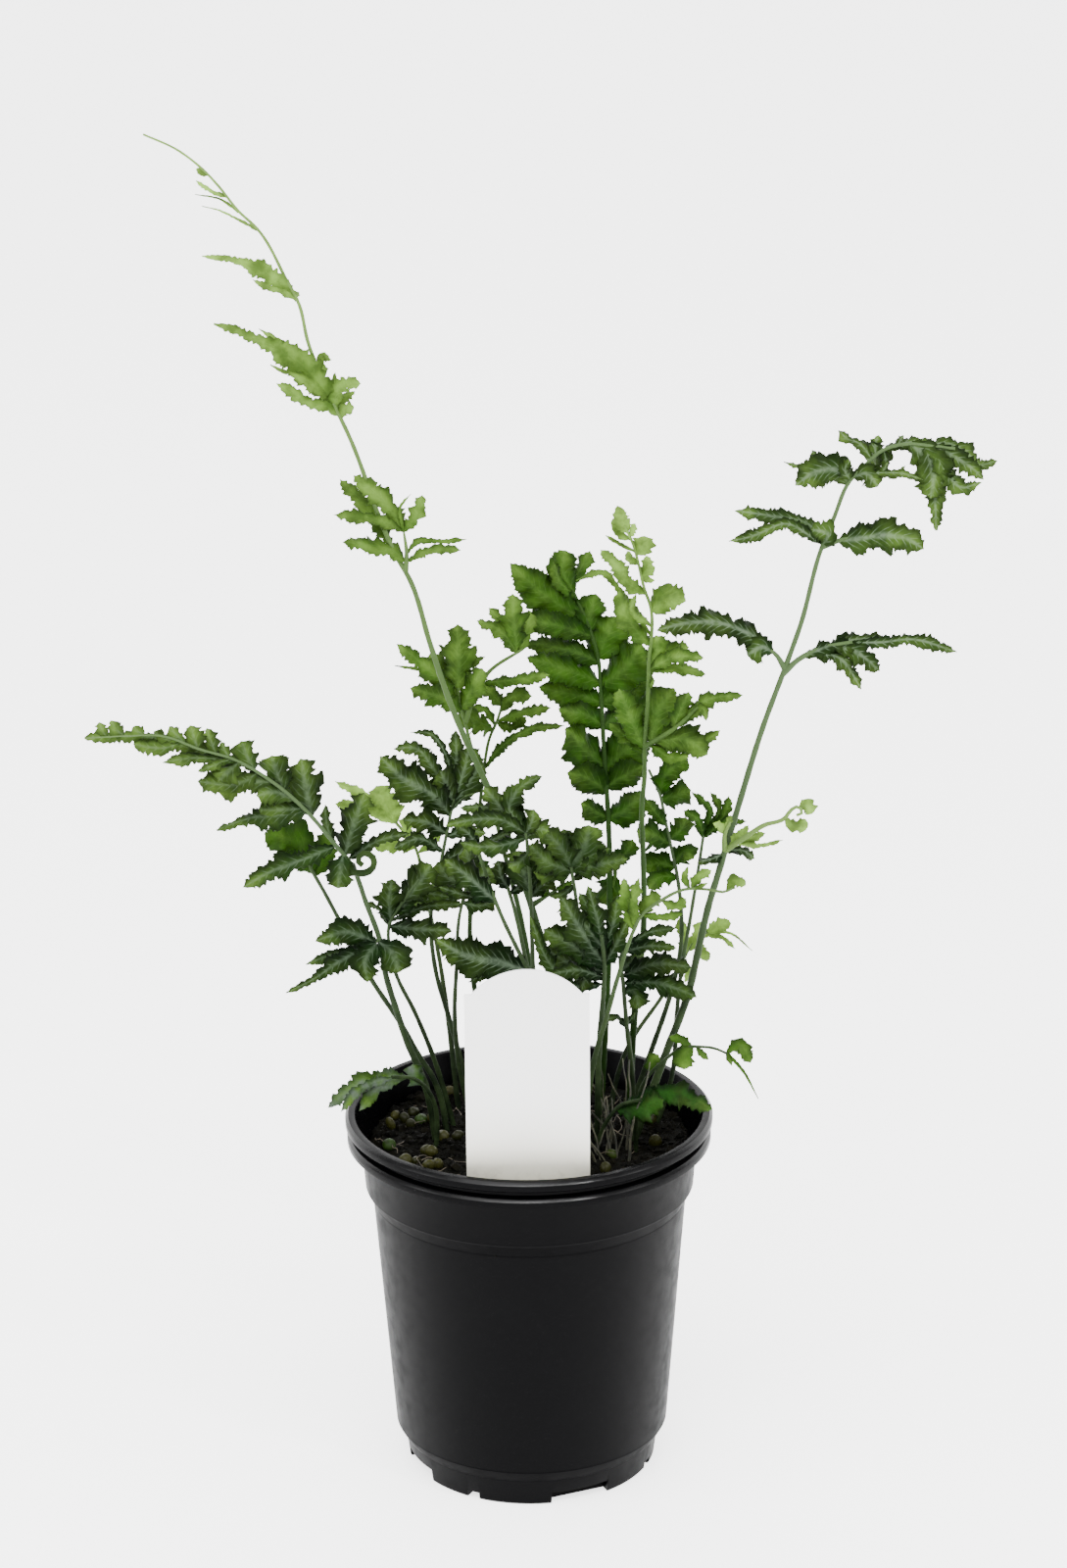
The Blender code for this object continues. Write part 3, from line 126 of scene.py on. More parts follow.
# Soil
SOIL_TOP = 100.5
SOIL_EDGE_RADIUS = 46.8
SOIL_MOUND = 1.2
SOIL_RELIEF = 0.35
SOIL_RINGS = 44
LUMP_SCALE = 0.35
LUMP_HEIGHT = 0.7
LUMP_DROP = 0.2
LUMP_MARGIN = 3.0
CRUMB_LIGHT = (0.0036, 0.0032, 0.0014)
CRUMB_SEED = 4

# Release prills, and where they lie as (x, y): those that the photo shows and some behind the stalks
PRILL_RADIUS = 2.0
PRILL_BROWNS = ((0.0070, 0.0082, 0.0014), (0.0215, 0.0220, 0.0042))
PRILL_GREEN = (0.013, 0.030, 0.004)
PRILL_SPECK = (0.008, 0.007, 0.003)
PRILL_SEED = 21
PRILL_TURN_SEED = 6
PRILLS = (
    (-40, 17), (-41, 8), (-37, 13), (-34.5, 19), (-32, 11), (-35, 7), (-28.5, 10), (-25.5, -1), (-21, -1),
    (-41, -6.5), (-30, -9.5), (-28.5, -11.5), (-36, -17), (-33, -16), (-29, -21), (-26.5, -20), (24, -14.5),
    (22, -25), (37, -5.5),
)
BACK_PRILLS = ((36, 10), (-12, 37), (18, 35), (8, 41), (30, 24), (-24, 33))

# Clumps of old dry stems: the middle of each as (x, y), how wide it spreads and its longest stem
STUB_CLUMPS = (((21.0, 3.0), 7.0, 24.0), ((22.5, -15.0), 3.5, 34.0), ((-6.0, 4.0), 8.0, 22.0),
               ((25.0, -6.0), 4.0, 36.0))
STUB_RADII = (0.25, 0.5)
STUB_TIP = 0.16
STUB_COLOURS = ((0.007, 0.008, 0.004), (0.044, 0.044, 0.022))
FIBRE_REACH = 42.0
FIBRE_LENGTHS = (6.0, 16.0)
FIBRE_RADII = (0.12, 0.24)
FIBRE_TIP = 0.1
FIBRE_COLOURS = ((0.02, 0.015, 0.009), (0.10, 0.08, 0.05))
STUB_SUNK = 1.5
FIBRE_LIFTS = (0.3, 1.8)
FIBRE_STEP = 1.5
WALL_MARGIN = 1.5
LITTER_SEED = 8

# Plant tag
TAG_WIDTH = 35.0
TAG_THICKNESS = 0.7
TAG_SHOULDER = 164.0
TAG_CROWN = 171.5
TAG_LEDGE = 2.0
TAG_STAKE_TOP = 103.0
TAG_STAKE_WIDTH = 12.0
TAG_SHOULDER_RISE = 3.0
TAG_POINT = 10.0
TAG_POINT_HALF = 2.4
TAG_FOOT = 72.0
ARCH_STEPS = 28
TAG_PLACE = (-0.2, -42.3)
TAG_LEAN = 3.0
TAG_EDGE = 0.00016
TAG_DIRT = (0.5, 0.47, 0.38)

# The front view that the fronds are drawn on, and the camera's own place
VIEW_PLACE = Vector((2.2, -1065.0, 559.0))
VIEW_PITCH = 18.12
VIEW_ROLL = 0.5
VIEW_MIDDLE = (544.5, 800.0)
VIEW_UNITS = 4000.0
VIEW_TALL = 1600.0
SENSOR = 36.0

# Each light: its name, its two sizes, the setting with its power and its place, in metres. All are aimed
# at LIT_PLACE.
LIGHTS = (
    ("key", (1.2, 1.2), "key", (-0.35, -0.75, 1.5)),
    ("strip", (1.1, 0.12), "strip", (0.1, -0.7, 1.15)),
    ("glint", (0.09, 0.09), "glint", (0.51, -0.59, 1.02)),
    ("left fill", (0.5, 1.4), "fill", (-1.2, -0.35, 0.5)),
    ("right fill", (0.5, 1.4), "fill", (1.2, -0.35, 0.5)),
)
LIT_PLACE = (0.0, 0.0, 0.18)

# The floor in metres: half its width, where it begins and bends up, the bend's radius and steps, its top
FLOOR_HALF = 3.5
FLOOR_FRONT = -2.5
FLOOR_BEND = 1.2
BEND_RADIUS = 0.8
BEND_STEPS = 8
BACKDROP_TOP = 3.2

# Fronds
ROOT_HEIGHT = 90.0
BLADE_BASE = 0.35
BLADE_ROLLS = (12, -18, 24, -8, -26, 16)
LIGHT_SIDE = Vector((0.0, -0.88, 0.47)).normalized()
CURVE_STEPS = 12
RIB_STEP = 0.3
STALK_STEP = 1.6
BRANCH_SHARE = 0.7
BLADE_BACK = 0.35
SHORT_LEAF = 13.0
NARROW_LEAF = 4.0

# Stalks: two colours low down and two high up, the heights in metres between which they change, and how
# much a stalk swells and how often
LOW_STALK = ((0.005, 0.009, 0.004), (0.016, 0.027, 0.010))
HIGH_STALK = ((0.042, 0.068, 0.030), (0.12, 0.20, 0.048))
STALK_HEIGHTS = (0.105, 0.235)
STALK_SWELL = (0.04, 0.9)

# Leaves: their twist in degrees, how much paler their tips and the branches' tips are, the distance of
# the veins in metres and their slant, and from what half width in metres an edge has its full teeth
LEAF_TWIST = 30.0
TIP_PALER = 0.22
BRANCH_PALER = 0.1
VEIN_PITCH = 0.0023
VEIN_SLANT = 1.1
WIDE_HALF = 0.003

# The frond tree's inputs, and the settings that they take
FROND_INPUTS = {"Blade Thickness": "thickness", "Tooth Pitch": "tooth_pitch", "Tooth Depth": "tooth_depth",
                "Lobe Pitch": "lobe_pitch", "Lobe Depth": "lobe_depth", "Ruffle": "ruffle",
                "Ruffle Pitch": "ruffle_pitch"}

# Each leaf outline: how far along the rib (0 to 1), the half width (1 is half the drawn width) and
# how far the edge is swept towards the tip, as a share of that half width.
OUTLINES = {
    "lobed": ((0.0, 0.1, 0.0), (0.09, 0.5, 0.2), (0.2, 0.98, 0.35), (0.31, 0.8, 0.05), (0.38, 0.74, 0.0),
              (0.54, 1.18, 0.4), (0.66, 0.8, 0.05), (0.71, 0.74, 0.0), (0.84, 0.72, 0.3), (0.93, 0.42, 0.15),
              (1.0, 0.05, 0.0)),
    "notched": ((0.0, 0.1, 0.0), (0.1, 0.5, 0.2), (0.26, 1.04, 0.35), (0.4, 0.82, 0.1), (0.5, 0.76, 0.0),
                (0.72, 1.06, 0.35), (0.88, 0.65, 0.2), (1.0, 0.06, 0.0)),
    "oval": ((0.0, 0.1, 0.0), (0.12, 0.5, 0.1), (0.28, 0.92, 0.1), (0.55, 1.18, 0.2), (0.8, 0.96, 0.2),
             (0.93, 0.6, 0.1), (1.0, 0.1, 0.0)),
    "broad": ((0.0, 0.3, 0.0), (0.1, 0.72, 0.1), (0.25, 1.0, 0.2), (0.52, 1.08, 0.3), (0.72, 0.84, 0.3),
              (0.86, 0.5, 0.2), (0.94, 0.27, 0.1), (1.0, 0.04, 0.0)),
    "tailed": ((0.0, 0.25, 0.0), (0.12, 0.8, 0.2), (0.3, 1.1, 0.25), (0.47, 1.0, 0.1), (0.61, 0.55, 0.0),
               (0.75, 0.36, 0.0), (0.9, 0.3, 0.0), (1.0, 0.08, 0.0)),
    "ribbon": ((0.0, 0.3, 0.0), (0.12, 0.82, 0.1), (0.5, 1.0, 0.1), (0.85, 0.88, 0.1), (0.95, 0.6, 0.1),
               (1.0, 0.15, 0.0)),
    "plain": ((0.0, 0.12, 0.0), (0.2, 0.76, 0.1), (0.38, 1.0, 0.2), (0.7, 0.82, 0.2), (0.9, 0.42, 0.1),
              (1.0, 0.06, 0.0)),
    "strap": ((0.0, 0.3, 0.0), (0.3, 1.0, 0.2), (0.55, 0.62, 0.0), (0.8, 0.8, 0.2), (1.0, 0.1, 0.0)),
    "thread": ((0.0, 1.0, 0.0), (0.4, 0.8, 0.0), (0.75, 0.5, 0.0), (1.0, 0.12, 0.0)),
}

# The finish of each frond: its slot, how strong the silvery band along its ribs is, how pale and
# yellow it is low down and at its tip, and how late on its way up it turns pale.
FINISHES = {
    "frond_tall_left": ("bright_frond", 0.4, 0.0, 1.0, 2.5),
    "frond_tall_right": ("dark_frond", 1.0, 0.0, 0.16, 3),
    "frond_arching_left": ("dark_frond", 0.5, 0.0, 0.36, 5),
    "frond_low_behind_left": ("bright_frond", 0.2, 0.0, 0.05, 4),
    "frond_dark_left": ("dark_frond", 0.55, 0.0, 0.05, 4),
    "frond_dark_mid_left": ("dark_frond", 0.5, 0.0, 0.05, 4),
    "frond_over_tag": ("dark_frond", 0.8, 0.0, 0.0, 4),
    "frond_dark_centre": ("dark_frond", 0.5, 0.0, 0.05, 4),
    "frond_mid_low": ("dark_frond", 0.35, 0.0, 0.05, 4),
    "frond_dark_front": ("dark_frond", 0.55, 0.0, 0.0, 4),
    "frond_dark_right": ("dark_frond", 0.4, 0.0, 0.0, 4),
    "frond_broad_centre": ("bright_frond", 0.5, 0.0, 0.06, 4),
    "frond_pale_centre": ("bright_frond", 0.7, 0.0, 0.8, 5),
    "frond_inner_right": ("bright_frond", 0.5, 0.0, 0.0, 4),
    "frond_grey_right": ("bright_frond", 0.5, 0.0, 0.0, 4),
    "frond_bright_right": ("bright_frond", 0.3, 0.68, 0.85, 1),
    "frond_twin_left": ("bright_frond", 0.7, 0.0, 0.2, 4),
    "frond_branched_back": ("bright_frond", 0.5, 0.0, 0.2, 4),
    "frond_left_mid": ("dark_frond", 0.8, 0.0, 0.05, 4),
    "frond_pale_back_left": ("bright_frond", 0.1, 0.4, 0.9, 4),
    "crozier_front": ("bright_frond", 0.3, 0.0, 0.42, 2),
    "frond_low_right": ("bright_frond", 0.1, 0.0, 0.12, 1),
    "leaf_over_rim": ("bright_frond", 0.35, 0.0, 0.15, 4),
    "leaf_in_pot": ("dark_frond", 0.0, 0.0, 0.0, 4),
}

# How lobed the leaves of some fronds are; 1 is the usual
LOBING = {"frond_broad_centre": 0.12, "frond_pale_centre": 0.7, "frond_inner_right": 0.6,
          "frond_pale_back_left": 0.5, "frond_twin_left": 0.8, "frond_bright_right": 0.6,
          "crozier_front": 0.6, "frond_low_right": 0.5, "frond_low_behind_left": 0.5}

# Coiled branches: their number on the frond, counted from 0, and their radius at both ends
COILS = {"frond_arching_left": (2, 1.15, 0.8)}
COIL_GREEN = 0.88

# Stalks that share the green of their leaves, from 0 to 0.9
STALK_GREEN = {"frond_broad_centre": 0.8, "frond_pale_centre": 0.65, "frond_tall_left": 0.3,
               "frond_twin_left": 0.5, "frond_branched_back": 0.5}

# How much fuller the leaves of some fronds are than drawn; 1 is as drawn
FULLNESS = {"frond_dark_left": 1.18, "frond_dark_mid_left": 1.22, "frond_dark_centre": 1.22,
            "frond_mid_low": 1.2, "frond_dark_front": 1.17, "frond_twin_left": 1.12,
            "frond_pale_centre": 1.15, "frond_tall_right": 1.1, "frond_dark_right": 1.15,
            "frond_inner_right": 1.1, "frond_grey_right": 1.1, "frond_left_mid": 1.08, "leaf_in_pot": 1.15}

# Leaves with a colour of their own, and how much of it shows
TINTS = {"leaf_over_rim": ((0.056, 0.070, 0.058), 0.95), "leaf_in_pot": ((0.010, 0.047, 0.005), 0.7)}
NO_TINT = ((0.0, 0.0, 0.0), 0.0)

# Young shoots on older fronds: their branches, counted from 0, and how pale they are
YOUNG = {"frond_tall_right": ((4, 5), 0.8)}

# Each frond: where its stalk stands, as (x, y) in mm at ROOT_HEIGHT; the radius of the stalk at its
# root and at its tip; its stalks, as points of the front view; and its leaves. A point is written
# across,down and may end in @depth, its distance in mm behind the pot's axis. Points without a
# depth lie between their neighbours. The first stalk rises from the root, and the others start
# from the point of it nearest to their own first one. A leaf names its stalk, its rib, its drawn
# width, its outline and how far its tip turns to the back, in mm.
FRONDS = {
    "frond_tall_left": ((13, 10), (1.25, 0.3), (
        "575,1035 562,990@11 538,911 524,869 496,799@13 477,759 456,708 439,657@14 418,591 "
        "405,568 354,440@17 336,403 314,348 305,310 293,287 263,234@20 242,214 224,191 "
        "206,172 181,153 146,137@22",
        "413,584 415,565 412,542",
        "542,927 560,913 572,906",
    ), (
        (1, "412,540 396,516 380,500 361,485", 22, "lobed", 0),
        (1, "411,541 409,516 419,504", 5, "thread", -2),
        (1, "411,540 385,530 341,525", 13, "lobed", -4),
        (1, "413,542 423,528 431,505", 15, "lobed", -3),
        (1, "414,572 400,562 375,556 350,553", 20, "lobed", -6),
        (1, "415,572 440,561 470,561", 12, "lobed", -5),
        (1, "415,565 424,553 450,552 476,550", 8, "strap", 4),
        (0, "399,552 380,525 347,489", 19, "lobed", 8),
        (0, "343,417 332,399 316,380 297,364 278,353 258,344 238,336 218,330", 27, "tailed", -4),
        (0, "326,380 313,363 300,355 283,347 264,335", 8, "strap", 4),
        (0, "337,405 318,391 300,382 288,378 276,372", 15, "tailed", -8),
        (0, "347,424 333,415 318,411 305,405 296,398 282,391", 13, "lobed", -6),
        (0, "330,388 328,372 327,364 338,367", 11, "lobed", 6),
        (0, "343,414 344,402 351,392 368,391", 16, "lobed", -5),
        (0, "346,420 350,408 362,399", 11, "plain", 2),
        (0, "350,428 351,418 361,415", 12, "oval", -2),
        (0, "341,406 341,392 342,380", 8, "plain", 4),
        (0, "303,306 289,291 273,279 256,270 240,265 226,263 206,261", 17, "tailed", -3),
        (0, "303,307 290,298 274,293 258,285", 7, "lobed", -6),
        (0, "302,302 305,298", 6, "plain", 3),
        (0, "262,234 240,222 223,214 206,210", 3.5, "thread", -3),
        (0, "244,216 225,203 199,198", 3.5, "thread", 2),
        (0, "232,200 215,194 200,184", 8, "strap", -1),
        (0, "212,178 200,172", 7, "plain", 0),
        (2, "552,918 560,902", 9, "plain", -3),
        (2, "567,909 576,904 586,899", 8, "plain", -3),
    )),
    "frond_tall_right": ((27, -3), (1.3, 0.45), (
        "678,1079@-1 704,1008 713,968 723,925 735,885@2 745,851 752,828 779,741@6 803,677 "
        "817,638 839,558@12 851,529 868,490@15 883,475 900,460 925,453@15 950,455 975,458@13",
        "800,683 792,668 782,660",
        "800,688 815,673 840,661@8 870,655@4",
        "840,558 855,552 873,547",
        "742,868 761,854@-2 780,842 801,835@-6 808,826 815,823 819,829 813,832@-7",
        "741,868 740,850@-1 745,838@-2",
    ), (
        (1, "790,666 778,660 763,668", 22, "oval", -5),
        (1, "784,661 765,647 735,636 700,636 671,643", 29, "lobed", -9),
        (2, "820,671 850,658 880,652 905,652", 17, "lobed", -4),
        (2, "868,656 900,655 930,652 977,665", 13, "lobed", -8),
        (2, "845,660 872,664 898,684", 19, "lobed", -9),
        (2, "828,666 856,671 879,703", 17, "lobed", -9),
        (0, "840,558 845,545 828,540", 20, "oval", -7),
        (0, "842,553 825,535 790,527 750,521", 17, "lobed", 2),
        (0, "842,555 800,534 770,546 744,552", 12, "lobed", -5),
        (3, "855,553 880,549 905,546 925,549 943,560", 32, "lobed", -7),
        (3, "871,547 895,540 916,528", 16, "plain", 2),
        (0, "867,492 858,481 843,479 828,484 812,495", 28, "broad", -6),
        (0, "866,490 848,477 836,470 829,459", 18, "plain", 4),
        (0, "866,490 845,477 820,477 800,471", 7, "strap", 9),
        (0, "868,490 863,478 868,470", 14, "plain", -6),
        (0, "870,488 884,483 896,496", 18, "oval", -5),
        (0, "888,466 876,452 865,448 856,439", 14, "strap", 2),
        (0, "900,456 893,462 884,468", 26, "oval", 7),
        (0, "893,462 894,452 897,444", 14, "plain", 5),
        (0, "899,457 904,466 903,475", 14, "plain", 3),
        (0, "900,456 925,452 955,452", 15, "lobed", 6),
        (0, "915,453 919,449 922,444", 8, "plain", 5),
        (0, "930,453 947,468 953,490 955,515 956,541", 34, "tailed", -9),
        (0, "945,454 953,490 950,508", 26, "oval", -7),
        (0, "945,454 970,453 986,462 1000,474 1018,470", 18, "lobed", 4),
        (0, "955,456 978,468 995,480 1004,489", 17, "broad", -4),
        (0, "952,455 966,480 980,497 1002,492", 18, "broad", -8),
        (0, "872,484 900,482 922,483 942,489", 7, "lobed", -9),
        (0, "884,476 899,482 906,471", 12, "plain", -5),
        (0, "886,474 915,484 924,475", 8, "plain", -5),
        (0, "901,459 904,470 902,481", 8, "plain", 0),
        (4, "745,866 758,850 764,842", 11, "plain", -2),
        (4, "750,862 766,855 781,850", 12, "plain", 2),
        (4, "752,861 775,863 799,857", 6, "strap", -3),
        (0, "741,870 728,876 712,880", 11, "lobed", -4),
        (0, "742,870 758,868 770,876", 12, "lobed", 5),
        (5, "741,852 735,842 728,840", 9, "plain", -2),
        (5, "742,845 746,832", 7, "plain", -1),
        (4, "801,835 812,842 825,840", 12, "oval", -1),
        (4, "815,825 822,822 829,830", 13, "oval", 1),
    )),
    "frond_arching_left": ((-26, -2), (1.25, 0.18), (
        "434,1107@-3 414,1059 405,1032 394,996@-8 387,957 375,925 357,880@-16 343,863 312,827 "
        "281,800@-28 236,774 205,765 165,751@-38 130,751 88,753@-44",
        "386,958 384,962@-12",
        "357,885 364,891@-21 375,890 382,882 379,873 370,871 365,878 370,883@-22",
    ), (
        (0, "352,873 362,838 372,809", 33, "lobed", 2),
        (0, "317,832 312,802 307,774", 37, "lobed", 2),
        (0, "290,808 282,788 277,771", 32, "lobed", 0),
        (0, "260,789 252,772 246,756", 26, "lobed", 2),
        (0, "233,774 228,764 226,757", 13, "plain", 0),
        (0, "220,769 215,756 211,743", 18, "plain", 0),
        (0, "203,763 197,750 194,740", 22, "plain", 2),
        (0, "188,758 178,748 173,741", 17, "plain", 0),
        (0, "168,754 161,749 157,746", 11, "plain", 1),
        (0, "148,752 140,746 136,741", 14, "plain", 1),
        (0, "125,752 118,744 113,735", 15, "plain", 1),
        (0, "110,752 104,745 101,737", 12, "plain", -1),
        (0, "181,757 150,752 118,751 86,753", 13, "ribbon", 0),
        (0, "245,779 215,768 190,762 168,758", 15, "ribbon", -1),
        (0, "276,797 255,797 230,800 202,797", 25, "lobed", -7),
        (0, "262,790 240,803 222,808", 20, "lobed", -3),
        (0, "245,779 232,788 223,797", 24, "oval", -5),
        (0, "300,817 280,808 262,812", 28, "lobed", -5),
        (0, "308,824 288,826 264,826", 22, "oval", -3),
        (0, "312,828 285,831 255,835 221,847", 28, "tailed", -8),
        (0, "343,864 300,880 270,892 248,905", 22, "lobed", -8),
        (0, "350,872 347,890 345,906", 26, "oval", -5),
        (0, "243,779 215,774 190,774 166,778", 13, "lobed", -6),
        (0, "236,776 215,782 202,787", 12, "plain", -5),
        (0, "185,760 168,763 150,762 136,759", 14, "oval", -3),
        (0, "355,877 385,858 418,850", 14, "lobed", 7),
        (0, "340,860 334,842 332,821", 14, "plain", 5),
        (2, "362,891 376,890 383,881", 6, "strap", 0),
        (2, "383,882 379,872 369,871", 6, "strap", 0),
        (1, "384,962 355,951 322,960", 25, "broad", -5),
        (1, "384,962 345,982 318,1000 292,1013", 19, "tailed", -7),
        (1, "383,963 345,972 312,984", 11, "lobed", 2),
        (1, "383,963 372,982 375,1002", 27, "broad", -9),
        (1, "385,960 400,972 407,992", 30, "oval", -2),
    )),
    "frond_low_behind_left": ((-23, 6), (1, 0.5), (
        "441,1098@6 428,1078 410,1046 380,1001@5 348,942 328,905@3 318,888 308,872@2",
    ), (
        (0, "320,891 303,862 270,850", 42, "lobed", 0),
        (0, "322,893 331,870 333,848", 24, "lobed", 4),
        (0, "318,888 292,876 280,872", 18, "lobed", -7),
    )),
    "frond_dark_left": ((-20, 10), (0.95, 0.4), (
        "441,1075@9 423,1032 405,996@7 398,970 397,945@5 415,915 428,897@4",
    ), (
        (0, "412,919 430,897 440,882", 28, "lobed", -2),
        (0, "399,940 397,918 400,897", 22, "lobed", -5),
        (0, "397,945 385,926 372,921", 6, "strap", 2),
        (0, "402,936 430,912 458,915", 14, "lobed", 2),
        (0, "400,940 430,926 472,922", 9, "lobed", 6),
        (0, "397,945 425,948 461,950", 22, "lobed", -5),
    )),
    "frond_dark_mid_left": ((-14, 12), (0.95, 0.4), (
        "467,1076@14 464,1032 466,987@17 469,934@20 474,912 479,890@24",
    ), (
        (0, "476,903 458,895 446,880", 28, "lobed", -4),
        (0, "475,908 492,895 500,885", 24, "lobed", -5),
        (0, "472,925 447,915 420,924", 12, "lobed", -4),
        (0, "473,922 490,924 507,918", 14, "lobed", 3),
        (0, "479,890 478,876 474,866", 22, "lobed", -2),
        (0, "474,914 458,905 440,902", 14, "lobed", 4),
    )),
    "frond_over_tag": ((-2, -6), (0.95, 0.5), (
        "539,1020@-8 539,988@-12",
        "539,990@-12 507,923@-13 492,880 485,858@-6",
        "539,992@-12 521,914@-6 517,902@-5",
    ), (
        (0, "539,990 510,982 475,975 445,958", 36, "broad", -9),
        (0, "539,990 505,992 478,1002", 10, "lobed", -4),
        (1, "487,864 478,850 466,842", 15, "lobed", -2),
        (1, "506,921 483,899 454,877", 31, "lobed", -3),
        (1, "505,918 476,914 448,905", 12, "lobed", 3),
        (1, "488,866 505,856 522,850", 16, "lobed", -3),
        (1, "496,893 490,905 482,914", 18, "lobed", -4),
        (2, "519,908 511,893 508,878", 18, "lobed", -3),
        (2, "521,912 530,905 537,893", 11, "lobed", 3),
    )),
    "frond_dark_centre": ((4, 4), (0.95, 0.5), (
        "543,960@-4 541,900@-9 537,850@-14",
    ), (
        (0, "537,852 510,836 485,836 455,842", 15, "lobed", -4),
        (0, "538,856 515,862 490,864 470,860", 17, "lobed", -7),
        (0, "537,850 520,822 530,805 553,792", 17, "lobed", 1),
        (0, "537,852 512,825 494,803", 22, "lobed", 4),
        (0, "537,850 505,826 470,824", 14, "lobed", 6),
        (0, "538,852 543,838 545,826", 16, "lobed", -4),
        (0, "537,853 550,845 560,848", 18, "lobed", -6),
        (0, "539,870 530,880 519,885", 16, "lobed", -6),
        (0, "541,912 535,890 529,868", 30, "lobed", -3),
        (0, "541,915 554,902 566,894", 17, "lobed", 2),
        (0, "540,890 552,878 567,868", 16, "lobed", 5),
        (0, "538,854 526,834 512,813", 21, "lobed", 3),
    )),
    "frond_mid_low": ((13.4, 1.4), (0.9, 0.5), (
        "588,1004@-4 590,936@-8 583,885@-11",
    ), (
        (0, "583,887 570,862 554,848", 26, "lobed", -4),
        (0, "583,886 597,862 601,842", 32, "lobed", -2),
        (0, "584,888 608,870 622,866", 16, "lobed", -3),
        (0, "584,888 560,880 540,862", 22, "lobed", -7),
        (0, "584,890 562,892 545,890", 18, "lobed", -4),
        (0, "584,888 578,866 575,846", 26, "lobed", 1),
        (0, "586,896 600,888 618,890", 14, "lobed", 4),
        (0, "584,889 612,882 640,876", 20, "lobed", -7),
        (0, "586,900 574,912 560,914", 8, "plain", -4),
    )),
    "frond_dark_front": ((20, -5), (1.1, 0.6), (
        "612,1060@-12 616,1010@-17 617,985@-19 614,955@-22",
    ), (
        (0, "617,975 610,940 600,904", 15, "lobed", -4),
        (0, "617,985 590,945 572,914", 25, "lobed", -6),
        (0, "617,988 585,965 555,948", 24, "lobed", -3),
        (0, "616,992 580,982 552,966", 22, "lobed", 5),
        (0, "615,962 605,935 591,911", 12, "lobed", 4),
        (0, "616,968 598,945 586,932", 18, "lobed", -1),
        (0, "616,1003 588,1006 563,985 541,934", 13, "lobed", 3),
        (0, "616,998 590,990 562,994", 16, "lobed", -5),
        (0, "617,985 632,958 641,940", 17, "lobed", -3),
        (0, "616,970 627,938 630,914", 14, "lobed", 3),
        (0, "616,1000 600,992 594,1011", 14, "lobed", -2),
    )),
    "frond_dark_right": ((31, 2), (1, 0.5), (
        "645,1095@1 640,1050@-3 636,1003@-7 634,975@-9 640,964@-10",
    ), (
        (0, "638,967 662,952 690,947", 11, "lobed", -3),
        (0, "636,971 665,965 690,967", 13, "lobed", -7),
        (0, "636,995 668,984 706,987", 22, "lobed", -2),
        (0, "636,1003 672,1003 711,1017", 20, "lobed", -6),
        (0, "637,1010 647,1012 653,1029", 20, "lobed", -5),
        (0, "635,990 648,978 657,974", 17, "lobed", 6),
        (0, "641,1050 630,1038 616,1041", 6, "lobed", -2),
        (0, "640,1048 648,1033", 6, "plain", 2),
    )),
    "frond_broad_centre": ((20, 9), (1.3, 0.45), (
        "620,1000@20 622,940@26 622,872@33 621,839@36 617,775@42 613,705@49 610,668@52 "
        "597,629@56 584,600@58 578,585@59",
        "624,874@33 628,890@31 625,905@30",
    ), (
        (0, "596,632 570,617 545,598 521,574", 37, "broad", -1),
        (0, "590,615 565,605 553,585", 13, "lobed", 1),
        (0, "600,650 570,638 545,633 522,630", 24, "broad", -9),
        (0, "607,674 580,662 555,657 533,656", 25, "broad", 5),
        (0, "611,696 585,684 560,677 538,670", 31, "broad", -6),
        (0, "613,718 590,708 570,704 550,700", 29, "broad", 1),
        (0, "615,738 598,729 582,726 570,722", 27, "broad", 1),
        (0, "617,778 600,764 588,752 577,743", 42, "broad", -4),
        (0, "620,808 605,797 592,791 579,788", 30, "broad", -2),
        (0, "622,836 610,829 602,824 593,819", 23, "broad", -3),
        (0, "598,642 602,626 608,605", 29, "broad", 3),
        (0, "606,672 616,652 628,628", 44, "broad", 3),
        (0, "611,700 628,688 645,672 655,656", 42, "broad", -6),
        (0, "613,716 635,704 652,690 666,680", 40, "broad", 2),
        (0, "615,740 635,727 648,714 660,700", 34, "broad", 7),
        (0, "618,785 634,770 646,758 654,746", 44, "broad", 2),
        (0, "620,800 640,790 650,784 657,780", 27, "broad", -1),
        (0, "622,836 638,826 650,815 656,806", 30, "broad", 4),
        (0, "586,604 574,582 577,561", 27, "oval", -3),
        (0, "588,610 570,590 565,573", 16, "lobed", -4),
        (0, "582,597 592,580 602,561", 16, "lobed", 5),
        (1, "625,880 640,868 646,856", 20, "lobed", 3),
        (1, "627,892 622,908 620,924", 30, "lobed", -2),
        (1, "625,882 610,876 600,877", 12, "lobed", -5),
    )),
    "frond_pale_centre": ((29, 8), (1.2, 0.35), (
        "650,1010@2 656,960@-1 656,860@-7 655,826 658,788 658,762@-13 661,717 663,667@-18 "
        "665,649 664,619 658,602@-22 652,577 647,558 638,537@-27",
        "659,762 690,742@-19 712,722@-23",
    ), (
        (0, "641,545 634,530 630,516", 15, "plain", -2),
        (0, "644,552 630,542 624,531", 8, "plain", 2),
        (0, "642,547 648,534", 8, "plain", -3),
        (0, "649,566 655,558 658,547", 18, "oval", -3),
        (0, "648,562 633,555 618,546", 5, "strap", 2),
        (0, "651,575 643,570 641,562", 8, "plain", -4),
        (0, "654,588 661,580 660,567", 14, "plain", -3),
        (0, "654,588 660,591 668,592", 7, "plain", 2),
        (0, "660,606 640,594 630,578 613,561", 14, "lobed", -4),
        (0, "662,657 648,640 637,622 632,603", 22, "lobed", -4),
        (0, "660,648 635,606 614,584 588,592", 9, "strap", 4),
